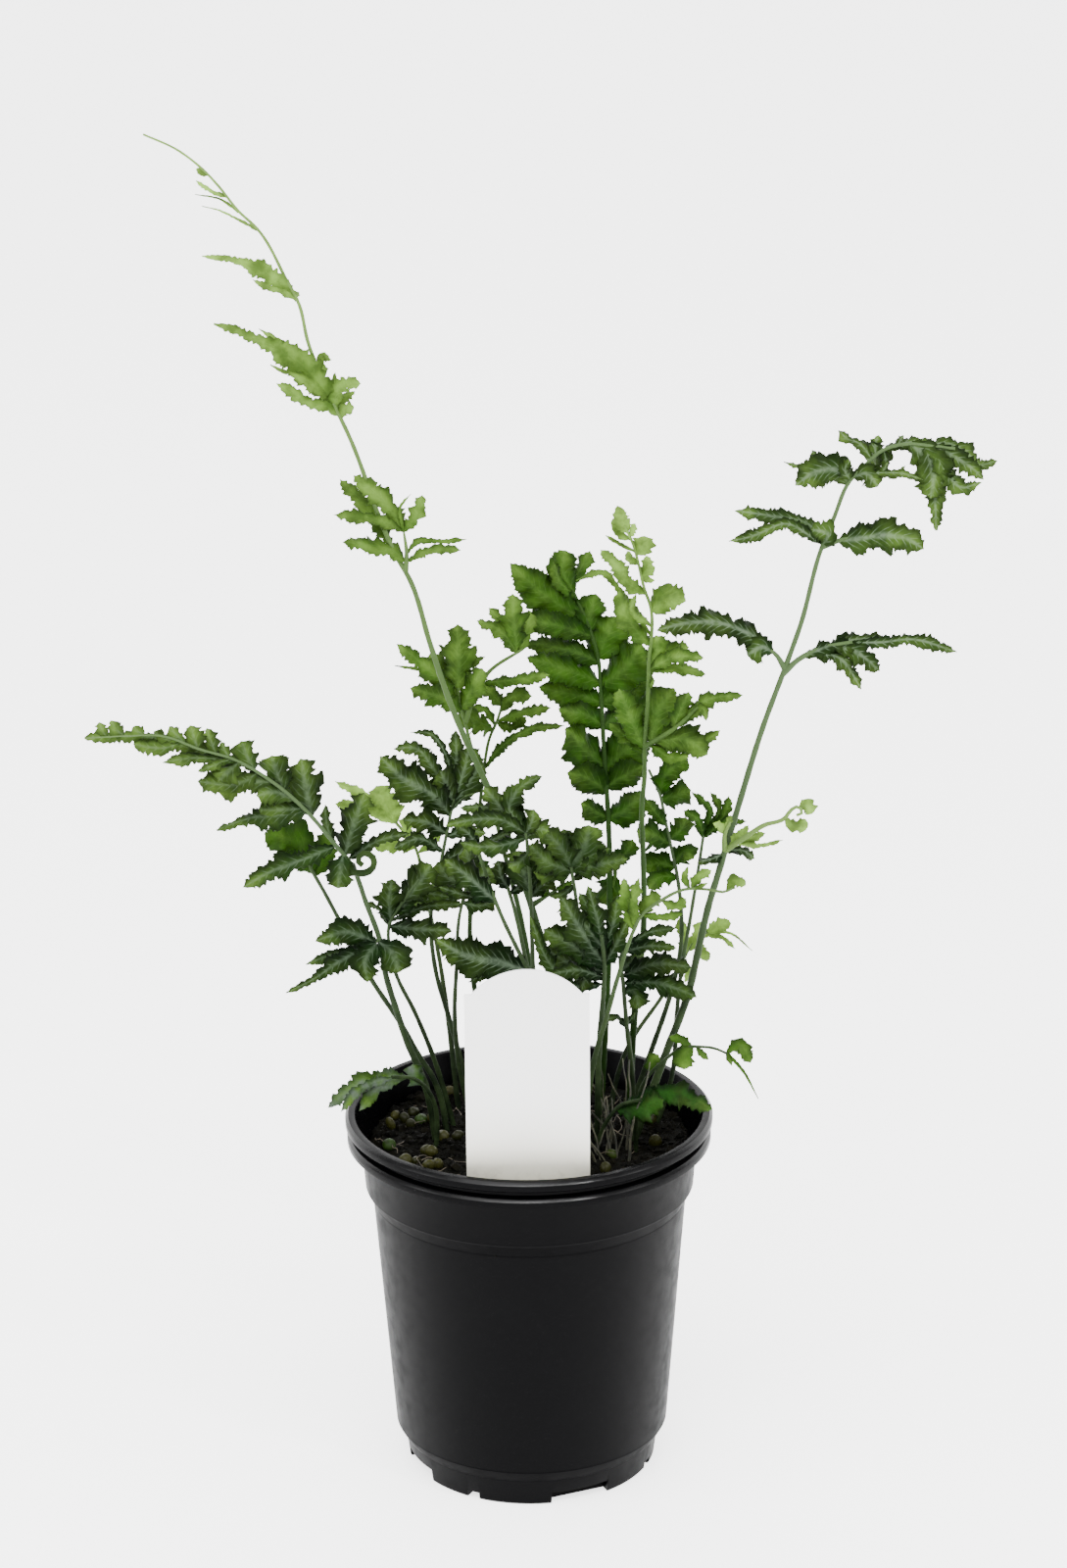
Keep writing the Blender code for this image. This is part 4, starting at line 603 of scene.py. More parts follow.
        (0, "662,640 645,622 649,606", 8, "strap", -8),
        (0, "664,622 680,609 700,613", 25, "broad", -5),
        (0, "664,682 688,670 718,671", 15, "lobed", -7),
        (0, "664,685 692,681 720,688", 13, "lobed", 0),
        (0, "664,680 671,662 670,648", 20, "lobed", -1),
        (0, "663,684 684,664 703,660", 18, "lobed", 5),
        (1, "690,742 722,714 758,709", 13, "lobed", -5),
        (1, "665,758 670,728 688,702", 38, "broad", 4),
        (1, "688,743 696,722 703,706", 16, "lobed", -3),
        (1, "700,732 718,724 721,735", 12, "plain", -4),
        (1, "668,757 700,754 722,770", 27, "lobed", -6),
        (1, "668,758 712,760 735,745", 13, "lobed", 3),
        (1, "663,760 682,772 703,772", 14, "lobed", -9),
        (0, "657,764 645,735 632,703", 25, "lobed", -5),
        (0, "657,768 640,752 622,738", 14, "lobed", 3),
        (0, "661,702 668,694", 7, "plain", -3),
    )),
    "frond_inner_right": ((25, 12), (1, 0.4), (
        "664,1074@17 685,1012@22 694,972@25 690,887@31 684,860 679,837@34 673,809@36 "
        "662,785@38",
    ), (
        (0, "674,812 678,792 702,774", 24, "lobed", -3),
        (0, "675,815 690,812 705,806", 25, "lobed", 3),
        (0, "680,842 668,828 659,816", 14, "lobed", -4),
        (0, "684,862 668,852 650,848", 26, "lobed", -6),
        (0, "683,856 695,846 700,834", 20, "lobed", 2),
        (0, "688,880 700,870 708,876", 21, "lobed", -4),
        (0, "689,886 670,880 655,884", 24, "lobed", 4),
        (0, "690,894 672,896 662,907", 17, "lobed", -5),
    )),
    "frond_grey_right": ((34, 9), (0.85, 0.45), (
        "688,1085@13 690,1045@17 696,985@22 704,940@26 713,885@31 718,852@34",
    ), (
        (0, "718,854 712,836 698,827", 11, "lobed", -4),
        (0, "718,852 724,825 706,808", 9, "lobed", 0),
        (0, "718,852 734,824 725,808", 8, "lobed", 4),
        (0, "718,853 740,830 744,812", 10, "lobed", -4),
        (0, "718,854 742,838 762,838", 8, "lobed", -7),
    )),
    "frond_bright_right": ((22, 16), (0.9, 0.4), (
        "640,1070@26 680,1010@36 697,980@40 707,962@43 722,951@45",
    ), (
        (0, "700,975 697,955 693,937", 12, "lobed", -4),
        (0, "702,971 712,955 716,940", 16, "lobed", 3),
        (0, "709,960 717,968 722,981", 10, "lobed", -4),
        (0, "720,952 733,945 746,942", 14, "oval", -3),
        (0, "718,953 738,957 750,968", 6, "strap", 2),
        (0, "714,956 742,951 768,970", 4, "thread", 5),
        (0, "694,985 703,992 699,1002", 9, "plain", -4),
    )),
    "frond_twin_left": ((6, 16), (1.15, 0.4), (
        "530,930@26 512,860@30 497,800@34 482,765@37 474,735@39 469,719@40 468,702@41",
        "475,737@39 487,704@41 497,688@41 534,662@40",
    ), (
        (0, "468,705 468,668 467,637", 29, "lobed", 0),
        (0, "470,724 445,690 405,657", 18, "lobed", -5),
        (0, "471,727 450,712 419,702", 19, "lobed", -8),
        (0, "469,715 452,690 440,665", 24, "lobed", 6),
        (0, "470,722 432,684 403,679", 5, "strap", 9),
        (0, "470,724 482,702 492,682", 24, "lobed", -5),
        (0, "468,706 480,677 495,670", 9, "lobed", 4),
        (1, "528,664 510,643 487,633", 15, "lobed", -4),
        (1, "528,664 513,636 499,620", 14, "lobed", 3),
        (1, "527,665 524,632 523,606", 24, "lobed", -2),
        (1, "529,664 536,645 541,624", 17, "lobed", 4),
        (1, "492,697 530,693 561,688", 12, "lobed", -6),
    )),
    "frond_branched_back": ((-7, 20), (1, 0.4), (
        "480,930@38 487,870@44 490,820@49 494,785@52 500,752@55 508,734@56 513,717@58",
    ), (
        (0, "512,720 502,708 495,699", 16, "lobed", -3),
        (0, "511,726 525,710 543,710", 15, "lobed", -4),
        (0, "508,735 532,727 562,722", 13, "lobed", -5),
        (0, "507,737 522,742 537,731", 12, "lobed", 3),
        (0, "503,745 485,736 467,730", 26, "lobed", -7),
        (0, "506,740 495,724 478,724", 9, "lobed", 3),
        (0, "494,784 512,762 540,745 576,740", 11, "lobed", -6),
        (0, "494,790 487,774 481,763", 13, "lobed", -4),
        (0, "487,876 496,887 508,895", 15, "lobed", -3),
    )),
    "frond_left_mid": ((-15, 18), (1, 0.45), (
        "466,1066@22 459,1041@24 444,987@28 440,930@31 450,880@34 459,835@37 463,815@39",
    ), (
        (0, "460,832 440,810 412,795 388,772", 34, "lobed", -8),
        (0, "462,820 456,802 449,786", 25, "lobed", -3),
        (0, "463,820 478,798 492,780", 26, "lobed", 6),
        (0, "463,816 474,784 478,762", 20, "lobed", 5),
        (0, "463,816 442,784 425,764 402,764", 17, "lobed", 0),
        (0, "463,816 455,770 440,749 419,747", 8, "lobed", 7),
        (0, "463,816 466,776 465,745", 17, "lobed", 10),
        (0, "461,826 475,812 486,809", 5, "strap", -3),
        (0, "455,850 433,838 411,836", 22, "lobed", -4),
        (0, "452,868 428,856 402,866", 15, "lobed", -4),
        (0, "450,882 470,871 492,862", 18, "lobed", -4),
        (0, "455,852 474,848 496,850", 14, "lobed", 3),
    )),
    "frond_pale_back_left": ((-20, 21), (0.95, 0.45), (
        "445,960@42 432,900@49 424,865@54 403,838@58",
    ), (
        (0, "404,840 394,820 384,802", 30, "lobed", -3),
        (0, "403,838 380,815 342,797", 12, "lobed", 4),
        (0, "405,841 372,824 342,820", 14, "lobed", -5),
        (0, "424,866 404,862 381,863", 17, "lobed", -3),
        (0, "420,860 416,848 416,832", 14, "lobed", 3),
        (0, "425,870 438,862 450,850", 9, "lobed", 4),
    )),
    "crozier_front": ((15, -14), (1.05, 0.35), (
        "607,1079@-19 619,1038@-23 631,996@-27 647,949@-31 654,935 673,920@-34 702,907@-37 "
        "725,908@-38 740,910 748,906@-39",
    ), (
        (0, "741,909 750,898 761,903", 12, "oval", -1),
        (0, "646,950 640,920 637,896", 16, "lobed", 2),
        (0, "648,946 647,920 652,896", 13, "lobed", -4),
        (0, "654,935 662,920 675,914", 17, "lobed", 2),
        (0, "655,934 676,936 697,932", 9, "lobed", -4),
        (0, "675,919 689,924 700,917", 11, "lobed", -3),
        (0, "703,907 699,896 702,884", 8, "plain", 1),
        (0, "705,907 714,894 726,888", 11, "lobed", -2),
        (0, "708,907 722,901", 5, "plain", -3),
    )),
    "frond_low_right": ((31, -9), (0.75, 0.35), (
        "660,1100@-14 683,1078@-19 697,1068@-22 711,1068@-24 730,1070@-27 742,1075@-29",
    ), (
        (0, "708,1068 700,1075 698,1091", 18, "oval", -2),
        (0, "706,1067 695,1060 683,1058", 11, "lobed", 2),
        (0, "711,1068 717,1075 723,1081", 8, "plain", -2),
        (0, "741,1074 753,1066 766,1084", 14, "oval", 2),
        (0, "742,1075 757,1091 774,1121", 4, "thread", -3),
        (0, "742,1075 747,1087", 6, "plain", -3),
        (0, "664,1096 665,1084 672,1076", 14, "lobed", 2),
    )),
    "leaf_over_rim": ((-28, -7), (0.85, 0.5), (
        "440,1118@-9 432,1107@-11 420,1100@-14 400,1099@-19",
    ), (
        (0, "416,1100 385,1100 360,1110 335,1130", 19, "lobed", -10),
        (0, "412,1100 385,1112 367,1133", 13, "lobed", -7),
        (0, "404,1099 366,1112 348,1134", 10, "lobed", -17),
        (0, "432,1107 424,1097 421,1086", 20, "lobed", 2),
    )),
    "leaf_in_pot": ((18, -12), (0.85, 0.5), (
        "622,1140@-15 633,1128@-16 655,1122@-18",
    ), (
        (0, "630,1132 652,1130 677,1122", 26, "lobed", -4),
        (0, "646,1124 688,1116 727,1132", 20, "lobed", 3),
    )),
}


class PotSettings(bpy.types.PropertyGroup):
    """The pot's finish."""
    colour: bpy.props.FloatVectorProperty(
        name="Plastic", description="Colour of the moulded plastic", subtype="COLOR", size=3,
        min=0.0, max=1.0, default=(0.0010, 0.0010, 0.0012))
    roughness: bpy.props.FloatProperty(
        name="Roughness", description="How dull the plastic is", subtype="FACTOR", min=0.0, max=1.0,
        default=0.38)
    bevel: bpy.props.FloatProperty(
        name="Edge", description="Rounding of the moulded edges", unit="LENGTH", min=0.0, default=0.00022)


class SoilSettings(bpy.types.PropertyGroup):
    """The soil and what lies on it."""
    colour: bpy.props.FloatVectorProperty(
        name="Soil", description="Colour of the damp soil", subtype="COLOR", size=3,
        min=0.0, max=1.0, default=(0.0013, 0.0012, 0.0006))
    crumbs: bpy.props.IntProperty(
        name="Crumbs", description="How many crumbs lie on a square metre of soil", min=0, default=330000)
    crumb_size: bpy.props.FloatProperty(
        name="Crumb size", description="Radius of a middling crumb", unit="LENGTH", min=0.0, default=0.0009)
    prill_size: bpy.props.FloatProperty(
        name="Prill size", description="Radius of a release prill", unit="LENGTH", min=0.0,
        default=PRILL_RADIUS * MM)
    roots: bpy.props.IntProperty(
        name="Fibres", description="Number of loose fibres on the soil", min=0, default=60)
    stubs: bpy.props.IntProperty(
        name="Dry stems", description="Number of old dry stems round the crown", min=0, default=42)


class TagSettings(bpy.types.PropertyGroup):
    """The blank plant tag."""
    colour: bpy.props.FloatVectorProperty(
        name="Tag", description="Colour of the sheet plastic", subtype="COLOR", size=3,
        min=0.0, max=1.0, default=(0.86, 0.86, 0.85))
    foot_tint: bpy.props.FloatVectorProperty(
        name="Stain", description="Tint near the soil", subtype="COLOR", size=3,
        min=0.0, max=1.0, default=(0.66, 0.63, 0.46))


class FrondSettings(bpy.types.PropertyGroup):
    """The fronds' leaves and stalks."""
    thickness: bpy.props.FloatProperty(
        name="Thickness", description="Thickness of a leaf at its rib", unit="LENGTH", min=0.0,
        default=0.0004)
    tooth_pitch: bpy.props.FloatProperty(
        name="Tooth pitch", description="Distance between teeth along an edge", unit="LENGTH", min=0.0001,
        default=0.0015)
    tooth_depth: bpy.props.FloatProperty(
        name="Tooth depth", description="How far a tooth stands out", unit="LENGTH", min=0.0, default=0.0009)
    lobe_pitch: bpy.props.FloatProperty(
        name="Lobe pitch", description="Distance between the rounded lobes of an edge", unit="LENGTH",
        min=0.0001, default=0.0034)
    lobe_depth: bpy.props.FloatProperty(
        name="Lobe depth", description="How far a rounded lobe stands out", unit="LENGTH", min=0.0,
        default=0.0013)
    ruffle: bpy.props.FloatProperty(
        name="Ruffle", description="Height of the waves of an edge, as a share of the half width", min=0.0,
        default=0.2)
    ruffle_pitch: bpy.props.FloatProperty(
        name="Ruffle pitch", description="Length of one wave of an edge", unit="LENGTH", min=0.0001,
        default=0.0052)
    dark: bpy.props.FloatVectorProperty(
        name="Dark green", description="The darker fronds", subtype="COLOR", size=3,
        min=0.0, max=1.0, default=(0.0012, 0.0078, 0.0010))
    bright: bpy.props.FloatVectorProperty(
        name="Bright green", description="The brighter fronds", subtype="COLOR", size=3,
        min=0.0, max=1.0, default=(0.0050, 0.0245, 0.0004))
    pale: bpy.props.FloatVectorProperty(
        name="Pale green", description="Young leaves and tips", subtype="COLOR", size=3,
        min=0.0, max=1.0, default=(0.122, 0.215, 0.036))
    silver: bpy.props.FloatVectorProperty(
        name="Silver", description="The feathered band along a rib", subtype="COLOR", size=3,
        min=0.0, max=1.0, default=(0.086, 0.120, 0.080))
    vein: bpy.props.FloatVectorProperty(
        name="Vein", description="The ribs of the brighter fronds", subtype="COLOR", size=3,
        min=0.0, max=1.0, default=(0.042, 0.090, 0.016))


class StageSettings(bpy.types.PropertyGroup):
    """Floor, backdrop and light."""
    floor: bpy.props.FloatVectorProperty(
        name="Floor", description="Colour of the floor and backdrop", subtype="COLOR", size=3,
        min=0.0, max=1.0, default=(0.93, 0.93, 0.93))
    glow: bpy.props.FloatProperty(
        name="Glow", description="Light that the floor and backdrop give", min=0.0, default=2.2)
    key: bpy.props.FloatProperty(
        name="Key light", description="Power of the overhead light", min=0.0, default=29.0)
    strip: bpy.props.FloatProperty(
        name="Strip light", description="Power of the narrow light in front, which lines the rims with light",
        min=0.0, default=11.0)
    glint: bpy.props.FloatProperty(
        name="Glint light", description="Power of the small light at the front right", min=0.0, default=4.0)
    fill: bpy.props.FloatProperty(
        name="Fill light", description="Power of each side light", min=0.0, default=12.0)
    sky: bpy.props.FloatProperty(name="Sky", description="Strength of the even light", min=0.0, default=1.15)


class Nodes:
    """Adds nodes to a tree and links what they are given."""

    def __init__(self, tree):
        self.tree = tree

    def feed(self, socket, value):
        """Link an output, or set a plain value."""
        if isinstance(value, bpy.types.NodeSocket):
            self.tree.links.new(value, socket)
        else:
            socket.default_value = value

    def add(self, kind, inputs=None, **settings):
        """Add a node with its settings and inputs."""
        node = self.tree.nodes.new(kind)
        for name, value in settings.items():
            setattr(node, name, value)
        for key, value in (inputs or {}).items():
            socket = node.inputs[key] if isinstance(key, int) else shown(node.inputs, key)
            self.feed(socket, value)
        return node

    def math(self, operation, *values):
        """A sum on numbers."""
        node = self.add("ShaderNodeMath", operation=operation)
        for socket, value in zip(node.inputs, values):
            self.feed(socket, value)
        return node.outputs[0]

    def times(self, first, second):
        """The product of two numbers."""
        return self.math("MULTIPLY", first, second)

    def plus(self, first, second):
        """The sum of two numbers."""
        return self.math("ADD", first, second)

    def minus(self, first, second):
        """The first number less the second."""
        return self.math("SUBTRACT", first, second)

    def vector(self, operation, *values):
        """A sum on vectors. SCALE takes a vector and a number."""
        node = self.add("ShaderNodeVectorMath", operation=operation)
        sockets = [node.inputs[0], node.inputs[3]] if operation == "SCALE" else node.inputs
        for socket, value in zip(sockets, values):
            self.feed(socket, value)
        return node.outputs[0]

    def ramp(self, value, low, high, out_low=0.0, out_high=1.0):
        """A smooth step between two values."""
        node = self.add("ShaderNodeMapRange", {"Value": value, "From Min": low, "From Max": high,
                                               "To Min": out_low, "To Max": out_high},
                        interpolation_type="SMOOTHSTEP")
        return node.outputs[0]


def shown(sockets, name):
    """The socket of that name that is in use."""
    return next(socket for socket in sockets if socket.name == name and socket.enabled)


def new_tree(name, inputs):
    """A geometry tree with a Geometry input and output and other named inputs."""
    tree = bpy.data.node_groups.new(name, "GeometryNodeTree")
    tree.interface.new_socket("Geometry", in_out="INPUT", socket_type="NodeSocketGeometry")
    for label, kind in inputs:
        tree.interface.new_socket(label, in_out="INPUT", socket_type=kind)
    tree.interface.new_socket("Geometry", in_out="OUTPUT", socket_type="NodeSocketGeometry")
    nodes = Nodes(tree)
    return nodes, nodes.add("NodeGroupInput").outputs


def end_tree(nodes, geometry, material):
    """Realise, paint and hand out the geometry."""
    real = nodes.add("GeometryNodeRealizeInstances", {"Geometry": geometry})
    painted = nodes.add("GeometryNodeSetMaterial", {"Geometry": real.outputs[0], "Material": material})
    nodes.add("NodeGroupOutput", {"Geometry": painted.outputs[0]})
    return nodes.tree


def read_attribute(nodes, name, kind="FLOAT"):
    """A named attribute in a geometry tree."""
    node = nodes.add("GeometryNodeInputNamedAttribute", {"Name": name}, data_type=kind)
    return shown(node.outputs, "Attribute")


def keep_attribute(nodes, geometry, name, value, kind="FLOAT", domain="POINT"):
    """Store a named attribute in a geometry tree."""
    node = nodes.add("GeometryNodeStoreNamedAttribute", {"Geometry": geometry, "Name": name},
                     data_type=kind, domain=domain)
    nodes.feed(shown(node.inputs, "Value"), value)
    return node.outputs[0]


def random_value(nodes, seed, low, high):
    """A random number or vector for each point or instance, in a geometry tree."""
    kind = "FLOAT_VECTOR" if isinstance(high, tuple) else "FLOAT"
    node = nodes.add("FunctionNodeRandomValue", {"Min": low, "Max": high, "Seed": seed}, data_type=kind)
    return shown(node.outputs, "Value")


def set_inputs(modifier, values):
    """Set a modifier's inputs by the identifiers of their sockets."""
    for item in modifier.node_group.interface.items_tree:
        if item.item_type == "SOCKET" and item.in_out == "INPUT" and item.name in values:
            modifier[item.identifier] = values[item.name]


def settle(thing):
    """Put the evaluated mesh in place of the modifiers."""
    bpy.context.view_layer.update()
    graph = bpy.context.evaluated_depsgraph_get()
    mesh = bpy.data.meshes.new_from_object(thing.evaluated_get(graph), preserve_all_data_layers=True,
                                           depsgraph=graph)
    mesh.name = thing.name
    thing.modifiers.clear()
    thing.data = mesh
    return thing


def grown(thing, tree, values):
    """Run a geometry tree on an object and keep its result as a plain mesh."""
    modifier = thing.modifiers.new(tree.name, "NODES")
    modifier.node_group = tree
    set_inputs(modifier, values)
    return settle(thing)


def new_object(name, data):
    """Put data in the scene as an object."""
    thing = bpy.data.objects.new(name, data)
    bpy.context.scene.collection.objects.link(thing)
    return thing


def shape_mesh(name, shape):
    """A mesh from a finished shape."""
    mesh = bpy.data.meshes.new(name)
    shape.to_mesh(mesh)
    shape.free()
    return mesh


def round_edges(thing, width, degrees):
    """Bevel the edges that turn by more than an angle."""
    edge = thing.modifiers.new("Edges", "BEVEL")
    edge.width = width
    edge.segments = 2
    edge.limit_method = "ANGLE"
    edge.angle_limit = math.radians(degrees)


def paint(thing, material):
    """Give an object one material."""
    thing.data.materials.clear()
    thing.data.materials.append(material)


def fit(thing, node=None):
    """Tie a finished piece to the frame."""
    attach(thing, "root")
    if node:
        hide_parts(node)


def shade_round(mesh, degrees=35.0):
    """Smooth shading with the real edges kept sharp."""
    mesh.shade_smooth()
    mesh.set_sharp_from_angle(angle=math.radians(degrees))


def new_material(name):
    """An empty Principled material and the means to add nodes to it."""
    material = bpy.data.materials.new(name)
    material.use_nodes = True
    nodes = Nodes(material.node_tree)
    return material, nodes, material.node_tree.nodes["Principled BSDF"]


def attribute(nodes, name):
    """A number stored on a piece's points, in a material."""
    return nodes.add("ShaderNodeAttribute", attribute_name=name).outputs["Fac"]


def place(nodes):
    """Object coordinates."""
    return nodes.add("ShaderNodeTexCoord").outputs["Object"]


def axis_of(nodes, vector, axis):
    """One coordinate of a vector."""
    return nodes.add("ShaderNodeSeparateXYZ", {"Vector": vector}).outputs[axis]


def grain(nodes, scale, detail=3.0):
    """Noise on object coordinates, from 0 to 1."""
    node = nodes.add("ShaderNodeTexNoise", {"Vector": place(nodes), "Scale": scale, "Detail": detail})
    return node.outputs["Fac"]


def blend(nodes, share, first, second):
    """Mix two colours."""
    node = nodes.add("ShaderNodeMix", data_type="RGBA")
    nodes.feed(node.inputs["Factor"], share)
    for key, value in ((6, first), (7, second)):
        nodes.feed(node.inputs[key], (*value, 1.0) if isinstance(value, (tuple, list)) else value)
    return node.outputs[2]


def scaled(colour, share):
    """A colour made darker or lighter."""
    return tuple(part * share for part in colour)


def bumped(nodes, shader, height, strength, distance):
    """Relief from a height."""
    bump = nodes.add("ShaderNodeBump", {"Height": height, "Strength": strength, "Distance": distance})
    nodes.feed(shader.inputs["Normal"], bump.outputs[0])


def plastic_material(colour, roughness):
    """Moulded black plastic: a fine moulding grain, faint dust and slightly uneven gloss."""
    material, nodes, shader = new_material("black plastic")
    dust = nodes.ramp(grain(nodes, 60.0), 0.5, 0.85, 0.0, 0.12)
    lighter = tuple(min(1.0, part * 2.0 + 0.001) for part in colour)
    nodes.feed(shader.inputs["Base Color"], blend(nodes, dust, colour, lighter))
    height = axis_of(nodes, place(nodes), "Z")
    rough = nodes.ramp(grain(nodes, 240.0), 0.3, 0.8, roughness - 0.05, roughness + 0.07)
    polish = nodes.ramp(height, *RIM_HEIGHTS, 0.0, RIM_POLISH)
    nodes.feed(shader.inputs["Roughness"], nodes.minus(rough, polish))
    slopes = [nodes.times(nodes.ramp(height, low - SLOPE_BLUR, low),
                          nodes.ramp(height, high + SLOPE_BLUR, high)) for low, high in MATT_SLOPES]
    shine = nodes.math("MULTIPLY_ADD", nodes.math("MAXIMUM", *slopes), SLOPE_SHINE, WALL_SHINE)
    edge = nodes.times(nodes.ramp(height, EDGE_LINE - LINE_BLUR, EDGE_LINE),
                       nodes.ramp(height, EDGE_LINE + LINE_BLUR, EDGE_LINE))
    shine = nodes.math("MULTIPLY_ADD", edge, LINE_SHINE, shine)
    upward = axis_of(nodes, nodes.add("ShaderNodeNewGeometry").outputs["Normal"], "Z")
    tilted = nodes.times(nodes.ramp(upward, 0.12, 0.4), nodes.ramp(upward, 0.97, 0.8))
    spot = nodes.vector("MULTIPLY", place(nodes), (1.0, 1.0, 0.0))
    far = nodes.add("ShaderNodeVectorMath", {0: spot}, operation="LENGTH").outputs["Value"]
    outer = nodes.times(nodes.ramp(far, *RIM_RADII), nodes.ramp(height, *RIM_HEIGHTS))
    rims = nodes.math("MULTIPLY_ADD", nodes.times(tilted, outer), RIM_SHINE, shine)
    aside = nodes.ramp(nodes.add("ShaderNodeLayerWeight").outputs["Facing"], 0.4, 0.85, 1.0, 0.4)
    nodes.feed(shader.inputs["Specular IOR Level"], nodes.times(rims, aside))
    bumped(nodes, shader, grain(nodes, 2600.0, 2.0), 0.12, 0.0002)
    return material


def soil_material(colour):
    """Damp crumbly soil."""
    material, nodes, shader = new_material("potting soil")
    tone = nodes.ramp(grain(nodes, 420.0, 6.0), 0.35, 0.7)
    lighter = scaled(colour, 2.0)
    nodes.feed(shader.inputs["Base Color"], blend(nodes, tone, colour, lighter))
    shader.inputs["Roughness"].default_value = 0.88
    shader.inputs["Specular IOR Level"].default_value = 0.05
    bumped(nodes, shader, grain(nodes, 900.0, 5.0), 0.7, 0.0006)
    return material


def crumb_material(colour):
    """Crumbs, each its own brown, through the shade stored on it."""
    material, nodes, shader = new_material("soil crumbs")
    dark = scaled(colour, 0.8)
    tone = blend(nodes, nodes.ramp(attribute(nodes, "shade"), 0.3, 1.0), dark, CRUMB_LIGHT)
    nodes.feed(shader.inputs["Base Color"], tone)
    shader.inputs["Roughness"].default_value = 0.82
    shader.inputs["Specular IOR Level"].default_value = 0.06
    return material


def prill_material():
    """Release prills: waxy yellow brown beads, some greener or darker."""
    material, nodes, shader = new_material("release prills")
    shade = attribute(nodes, "shade")
    tone = blend(nodes, nodes.ramp(shade, 0.0, 0.6), *PRILL_BROWNS)
    tone = blend(nodes, nodes.ramp(shade, 0.75, 0.95), tone, PRILL_GREEN)
    speck = nodes.ramp(grain(nodes, 900.0), 0.52, 0.7, 0.0, 0.55)
    nodes.feed(shader.inputs["Base Color"], blend(nodes, speck, tone, PRILL_SPECK))
    shader.inputs["Roughness"].default_value = 0.42
    shader.inputs["Specular IOR Level"].default_value = 0.1
    bumped(nodes, shader, grain(nodes, 1500.0), 0.25, 0.0002)
    return material


def fibre_material(name, dark, light):
    """Dry stems or roots, streaked from dark to light."""
    material, nodes, shader = new_material(name)
    tone = nodes.ramp(grain(nodes, 300.0), 0.3, 0.75)
    nodes.feed(shader.inputs["Base Color"], blend(nodes, tone, dark, light))
    shader.inputs["Roughness"].default_value = 0.75
    return material


def tag_material(colour, foot_tint):
    """White sheet plastic, creamier and darker towards the soil, with grainy dirt just above it."""
    material, nodes, shader = new_material("white sheet plastic")
    height = axis_of(nodes, place(nodes), "Z")
    # The tag turns darker and creamier over its lowest 35 mm, down to the soil
    low = nodes.ramp(height, 0.135, 0.102, 0.0, 0.75)
    dirt = nodes.times(nodes.ramp(height, 0.115, 0.100), nodes.ramp(grain(nodes, 500.0), 0.45, 0.7))
    tone = blend(nodes, low, colour, foot_tint)
    nodes.feed(shader.inputs["Base Color"], blend(nodes, dirt, tone, TAG_DIRT))
    shader.inputs["Roughness"].default_value = 0.38
    bumped(nodes, shader, grain(nodes, 700.0), 0.05, 0.0002)
    return material


